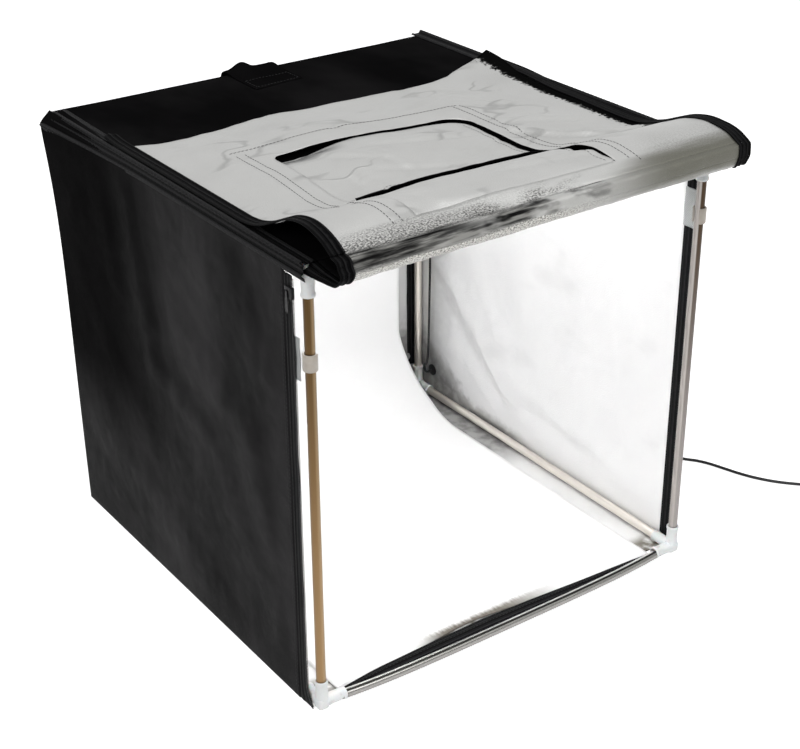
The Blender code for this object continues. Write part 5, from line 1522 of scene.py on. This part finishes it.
def panel_form(left, right, first, last, columns, rows):
    """A piece of the door over the roof, from a first depth back to a last one or to the door's free edge."""
    def lay(across, along):
        x = left + (right - left) * across
        return panel_place(x, first + ((door_end(x) if last is None else last) - first) * along)

    length = 0.102 if last is None else last - first
    return cloth_form(columns, rows, lay, (right - left, length), (left, ROLL_LENGTH + first - HIGH_FOLD_Y))


def joined_form(forms):
    """Sew several forms that share their edges into one."""
    whole = bmesh.new()
    whole.loops.layers.uv.new("cut")
    for form in forms:
        gather(whole, form)
    bmesh.ops.remove_doubles(whole, verts=whole.verts, dist=0.00002)
    return whole


WINDOW_LEFT, WINDOW_RIGHT = -0.118, 0.070
WINDOW_FRONT, WINDOW_SPLIT, WINDOW_REAR = -0.226, -0.150, -0.030
CORNER_ROUND = 0.022
CORNER_FADE = 0.010


def round_window(vertex):
    """Draw the panel's edge in round the window's rear corners."""
    for sign, corner_x, reach in ((1, WINDOW_RIGHT, CORNER_ROUND), (-1, WINDOW_LEFT, 0.007)):
        inside_x = (corner_x - vertex.co.x) * sign
        inside_y = WINDOW_REAR - vertex.co.y
        if inside_x > reach or inside_y > reach or (inside_x > 0.0001 and inside_y > 0.0001):
            continue
        if inside_y <= 0.0001:
            place, outside = inside_x, min(0.0, inside_y) + min(0.0, inside_x)
        else:
            place, outside = inside_y, min(0.0, inside_x)
        place, fade = max(0.0, place), math.exp(outside / CORNER_FADE)
        turn = (1 - place / reach) * math.pi / 4
        slipped = place + reach * math.sin(turn) - reach
        drawn = reach * math.cos(turn) - reach
        pull = (slipped, drawn) if inside_y <= 0.0001 else (drawn, slipped)
        vertex.co.x += sign * pull[0] * fade
        vertex.co.y += pull[1] * fade


# The strand under the roll turns at the roof's edge, the roll at its two folds, and the panel lies behind it.
panel_cuts = [part_form(roll_place, 124, 14, 0.5, 1.0, ROLL_LENGTH / 2, ROLL_LENGTH / 2)]
for left, right, columns in ((-CLOTH_HALF, WINDOW_LEFT, 24), (WINDOW_LEFT, WINDOW_RIGHT, 60),
                             (WINDOW_RIGHT, CLOTH_HALF, 40)):
    for first, last, rows in ((HIGH_FOLD_Y, WINDOW_FRONT, 5), (WINDOW_FRONT, WINDOW_SPLIT, 24),
                              (WINDOW_SPLIT, WINDOW_REAR, 40), (WINDOW_REAR, None, 34)):
        if left != WINDOW_LEFT or first not in (WINDOW_FRONT, WINDOW_SPLIT):
            panel_cuts.append(panel_form(left, right, first, last, columns, rows))
whole_panel = joined_form(panel_cuts)
for vertex in whole_panel.verts:
    round_window(vertex)
half_strand, door_width = STRAND_LENGTH / 2, 2 * CLOTH_HALF
window_area = (WINDOW_RIGHT - WINDOW_LEFT) * (WINDOW_REAR - WINDOW_FRONT)
strand_form = part_form(strand_place, 120, 8, 0.0, 0.5, half_strand, -STRAND_LENGTH)
roll_form = joined_form([part_form(strand_place, 120, 8, 0.5, 1.0, half_strand, -half_strand),
                         part_form(roll_place, 120, 14, 0.0, 0.5, ROLL_LENGTH / 2, 0.0)])
door_silver = door_film()
door_cloths = {}
for part, form, name, node, flat, area in (
        ("strand", strand_form, "door_strand_cloth", "door_top_fold", 0.0153, {}),
        ("roll", roll_form, "door_roll_cloth", "door_roll", 0.0333, {}),
        ("panel", whole_panel, "front_door_cloth", "front_door", DOOR_LENGTH,
         {"area": door_width * DOOR_LENGTH - window_area})):
    cloth = add_piece(name, form, [door_silver, black_cloth], "silver_lining", [node], None)
    thicken(cloth, 0.0010, 1).modifiers["thickness"].material_offset_rim = 1
    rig.sheet(cloth, flat=(door_width, flat), held="folded", rests_on=["roof_panel"], **area)
    door_cloths[part] = [cloth]


# Door tapes
# Zip tapes down both of the door's sides: a woven band with a cord in its inner hem and the coil outside.
# They are sewn to the cloth and fold with it.

TAPE_INNER, TAPE_OUTER = 0.1875, 0.2005
TAPE_LIFT = 0.0003
TAPE_GAP = 0.0006


def door_tape_lay(sign, place):
    """Lay of a side tape, from its silver side over the cloth's place: from the cloth to the coil."""
    def lay(across, along):
        x = sign * (TAPE_INNER + (TAPE_OUTER - TAPE_INNER) * across)
        ridge = 0.0009 * bump(across - 0.10, 0.07) + 0.0006 * bump(across - 0.48, 0.06)
        ridge += 0.0008 * bump(across - 0.90, 0.08)
        nearby = place(x, min(1.0, along + 0.01)) - place(x, max(0.0, along - 0.01))
        out = Vector((0, -nearby.z, nearby.y))
        out = out.normalized() if out.length > 1e-9 else UP
        return place(x, along) + out * (ridge + TAPE_LIFT)

    return lay


def tape_panel(x, along):
    """Run of a side tape behind the roll, rounded off at its free end."""
    right = x > 0
    end = door_end(math.copysign(DOOR_HALF, x)) + (0.0005 if right else 0.030)
    y = HIGH_FOLD_Y + (end - 0.006 * ((abs(x) - 0.194) / 0.0065) ** 2 - HIGH_FOLD_Y) * along
    if right:
        x += 0.0085 * eased((y + 0.030) / 0.090)
        x -= 0.0030 * eased((-0.030 - y) / 0.08) * eased((y + 0.235) / 0.06)
        return Vector((x, y, door_height(x, y) + TAPE_LIFT))
    return Vector((x, y, door_height(x, y) + 0.0010 + 0.0025 * max(0.0, (y - 0.080) / 0.027) ** 2))


door_tape = woven_tape("door_tape", 0.0046, 0.02)
TAPE_CUTS = {
    "strand": [(lambda x, t: strand_place(x, t * 0.62 - 0.12), 8, 0.0190)],
    "roll": [(lambda x, t: strand_place(x, 0.5 + t * 0.5), 8, 0.0153),
             (lambda x, t: roll_place(x, t * 0.5), 14, 0.018)],
    "panel": [(lambda x, t: roll_place(x, 0.5 + t * 0.5), 14, 0.018), (tape_panel, 130, 0.34)],
}
for side, sign in SIDES:
    for part, node in (("strand", "door_top_fold"), ("roll", "door_roll"),
                       ("panel", f"door_zip_tape_{side}")):
        form = joined_form([cloth_form(22, rows, door_tape_lay(sign, place), (0.013, length))
                            for place, rows, length in TAPE_CUTS[part]])
        bmesh.ops.remove_doubles(form, verts=form.verts, dist=TAPE_GAP)
        if sign < 0:
            bmesh.ops.reverse_faces(form, faces=form.faces)
        tape = add_piece(f"{side}_door_tape_{part}", form, [door_tape], "black_tape", [node], None, 75.0)
        door_cloths[part].append(thicken(tape, 0.0010))


# Window covers
# Two flaps of the same cloth close the door's window. Each is sewn on along its left edge only, so the slits
# at its other edges gape a little and show the black behind. Their hems are stitched.

COVER_SEAM = 0.0012
COVER_WIDTH = 0.186


def slit_rear(x):
    """Gap between the rear cover and the window's rear edge at a place across."""
    return (0.0016 + 0.0072 * bump(x + 0.100, 0.028) + 0.0026 * bump(x + 0.006, 0.030)
            + 0.0050 * bump(x - 0.055, 0.022) - 0.0010 * bump(x + 0.040, 0.008) + 0.0005 * math.sin(x * 90.0))


def slit_right(y):
    """Gap between the covers and the window's right edge at a place along."""
    waves = 0.0006 * math.sin(y * 62.0 + 1.0) + 0.0004 * math.sin(y * 140.0)
    return (0.0050 - 0.0032 * eased((-0.196 - y) / 0.010) + 0.0008 * eased((-0.140 - y) / 0.02) + waves
            + 0.0016 * bump(y + 0.190, 0.006))


def slit_middle(x):
    """Half of the gap between the two covers, with the knob that stands out of it."""
    waves = 0.0005 * math.sin(x * 75.0) + 0.0003 * math.sin(x * 210.0)
    return (0.0051 + waves + 0.0054 * bump(x + 0.078, 0.007)) * min(1.0, (x - WINDOW_LEFT) / 0.0015)


def cover_lay(place):
    """Lay of a window cover, from its sewn left edge to the right and back."""
    def lay(across, along):
        x = WINDOW_LEFT - COVER_SEAM + across * (WINDOW_RIGHT - WINDOW_LEFT + COVER_SEAM)
        over = held((x - WINDOW_RIGHT + CORNER_ROUND) / CORNER_ROUND)
        round_off = CORNER_ROUND * (1 - math.sqrt(1 - over ** 2)) * 0.9
        if place == "rear":
            low, high = WINDOW_SPLIT + slit_middle(x), WINDOW_REAR - slit_rear(x) - round_off
        else:
            low, high = WINDOW_FRONT - 0.0015, WINDOW_SPLIT - slit_middle(x)
        y = low + (high - low) * along
        front = eased((y - WINDOW_FRONT) / 0.012)
        left = min(1.0, across * 75)
        lip = bump(y - WINDOW_SPLIT, 0.008) * left
        point = panel_place(x - slit_right(y) * front * across ** 8, y)
        point.z -= 0.0013 * (1 - left)
        if place == "rear":
            point.z += 0.0036 * lip
            point.z -= bump(WINDOW_REAR - y, 0.014) * (0.0046 * bump(x + 0.095, 0.032) + 0.0010 * left)
        else:
            point.z -= 0.0044 * lip + 0.0013 * (1 - min(1.0, along * 20))
        dip = 0.0014 * (1 - 0.75 * eased((-0.196 - y) / 0.010)) + 0.0022 * bump(y + 0.189, 0.008)
        point.z -= dip * front * bump(WINDOW_RIGHT - x, 0.012)
        inner = held((y - low) / 0.015, (high - y) / 0.015, (WINDOW_RIGHT - x) / 0.015) * left
        point.z += 0.0014 * ripple(x, y, 30.0, 81.0) * inner
        return point

    return lay


for place, length, start, rows, edge in (("rear", 0.120, WINDOW_SPLIT, 60, 0.05),
                                         ("front", 0.072, WINDOW_FRONT, 40, 0.93)):
    lay = cover_lay(place)
    node = f"window_cover_{place}"
    start_flat = (WINDOW_LEFT, ROLL_LENGTH + start - HIGH_FOLD_Y)
    form = cloth_form(90, rows, lay, (COVER_WIDTH, length), start_flat)
    cover = add_piece(f"{place}_window_cover", form, [door_silver, black_cloth], "silver_lining", [node],
                      node)
    thicken(cover, 0.0009, 1).modifiers["thickness"].material_offset_rim = 1
    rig.sheet(cover, flat=(COVER_WIDTH, length), held="laid", rests_on=["front_door"])
    hem = bmesh.new()
    for row in (row_over(lay, (0.03, edge), (0.96, edge), 80), row_over(lay, (0.965, 0.06), (0.965, 0.94))):
        stitch_row(hem, row, UP, 0.0030, 0.0034, 0.0004)
    add_piece(f"{place}_cover_stitching", hem, [thread], "black_tape", body=node)

# Stitching round the window, in double rows down its sides, holds its frame to the door.
window_rows = bmesh.new()
for corners in (((-0.142, -0.004), (0.086, -0.004)), ((-0.140, -0.012), (-0.140, -0.150), (-0.139, -0.228)),
                ((-0.132, -0.012), (-0.132, -0.150), (-0.131, -0.228)),
                ((0.081, -0.006), (0.082, -0.120), (0.084, -0.228)),
                ((0.089, -0.004), (0.090, -0.120), (0.092, -0.230))):
    row = [point for first, last in zip(corners, corners[1:]) for point in row_over(panel_place, first, last)]
    stitch_row(window_rows, row, UP, 0.0034, 0.0037, 0.00055)
add_piece("window_stitching", window_rows, [thread], "black_tape", body="door")

for part, fixed, moving, start, end in (
        ("strand", "tent", "door_fold", (0, -0.2045, 0.3966), (0, -0.2125, 0.3960)),
        ("roll", "door_fold", "door_roll", (0, -0.2330, 0.3935), (0, -0.2425, 0.3960)),
        ("panel", "door_roll", "door", (0, -0.2440, 0.4070), (0, -0.2340, 0.4160))):
    for bent in door_cloths[part]:
        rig.blend(bent, fixed, moving, start=start, end=end)


# Studio
# A white table that the tent and its cord stand on, a white surround, and three soft boxes at a plain level.

table_white = Finish("table_white", 0.80, 0.6, specular=0.2)
seen_rays = [table_white.add("ShaderNodeLightPath", {}, {}, f"Is {ray} Ray") for ray in (
    "Camera", "Glossy", "Transmission")]
seen_ray = seen_rays[0].worked("MAXIMUM", seen_rays[0], seen_rays[1])
seen_ray = seen_ray.worked("MAXIMUM", seen_ray, seen_rays[2])
table_white.give("Emission Color", table_white.tint(seen_ray, 0.0, 1.0))
table_white.give("Emission Strength", 0.78)
table_white.give("Roughness", 0.55 + 0.1 * table_white.grain(table_white.place(), 30.0, 3.0))
form = bmesh.new()
bmesh.ops.create_grid(form, x_segments=1, y_segments=1, size=6.0)
mesh = bpy.data.meshes.new("table")
form.to_mesh(mesh)
form.free()
mesh.materials.append(table_white.material)
table = bpy.data.objects.new("table", mesh)
bpy.context.scene.collection.objects.link(table)
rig.stage(table)

surround = bpy.data.worlds.new("surround")
surround.use_nodes = True
bpy.context.scene.world = surround
tree = surround.node_tree
sky = tree.nodes["Background"]
path = tree.nodes.new("ShaderNodeLightPath")
seen, also = tree.nodes.new("ShaderNodeMath"), tree.nodes.new("ShaderNodeMath")
seen.operation = also.operation = "MAXIMUM"
level = tree.nodes.new("ShaderNodeMapRange")
level.inputs["To Min"].default_value = 0.30
level.inputs["To Max"].default_value = 1.0
for source, target in ((path.outputs["Is Camera Ray"], seen.inputs[0]),
                       (path.outputs["Is Glossy Ray"], seen.inputs[1]), (seen.outputs[0], also.inputs[0]),
                       (path.outputs["Is Transmission Ray"], also.inputs[1]),
                       (also.outputs[0], level.inputs["Value"]), (level.outputs[0], sky.inputs["Strength"])):
    tree.links.new(source, target)
sky.inputs["Color"].default_value = (1.0, 1.0, 1.0, 1.0)

for name, place, aim, size, power in (("left_box", (-1.7, -0.7, 1.3), (0, 0, 0.2), 1.1, 15.0),
                                      ("front_box", (0.5, -2.0, 1.8), (0, 0, 0.25), 1.2, 22.0),
                                      ("top_box", (-0.4, -0.5, 2.2), (0, 0, 0.3), 1.3, 14.0)):
    lamp = bpy.data.lights.new(name, "AREA")
    lamp.shape = "SQUARE"
    lamp.size = size
    lamp.energy = power
    stand = bpy.data.objects.new(name, lamp)
    stand.location = place
    stand.rotation_euler = (Vector(aim) - Vector(place)).to_track_quat("-Z", "Y").to_euler()
    bpy.context.scene.collection.objects.link(stand)

dressed_box = [list(corner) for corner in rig.bounds()]
with open("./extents.json", "w") as sizes:
    sizes.write(str([solid_box, dressed_box]))
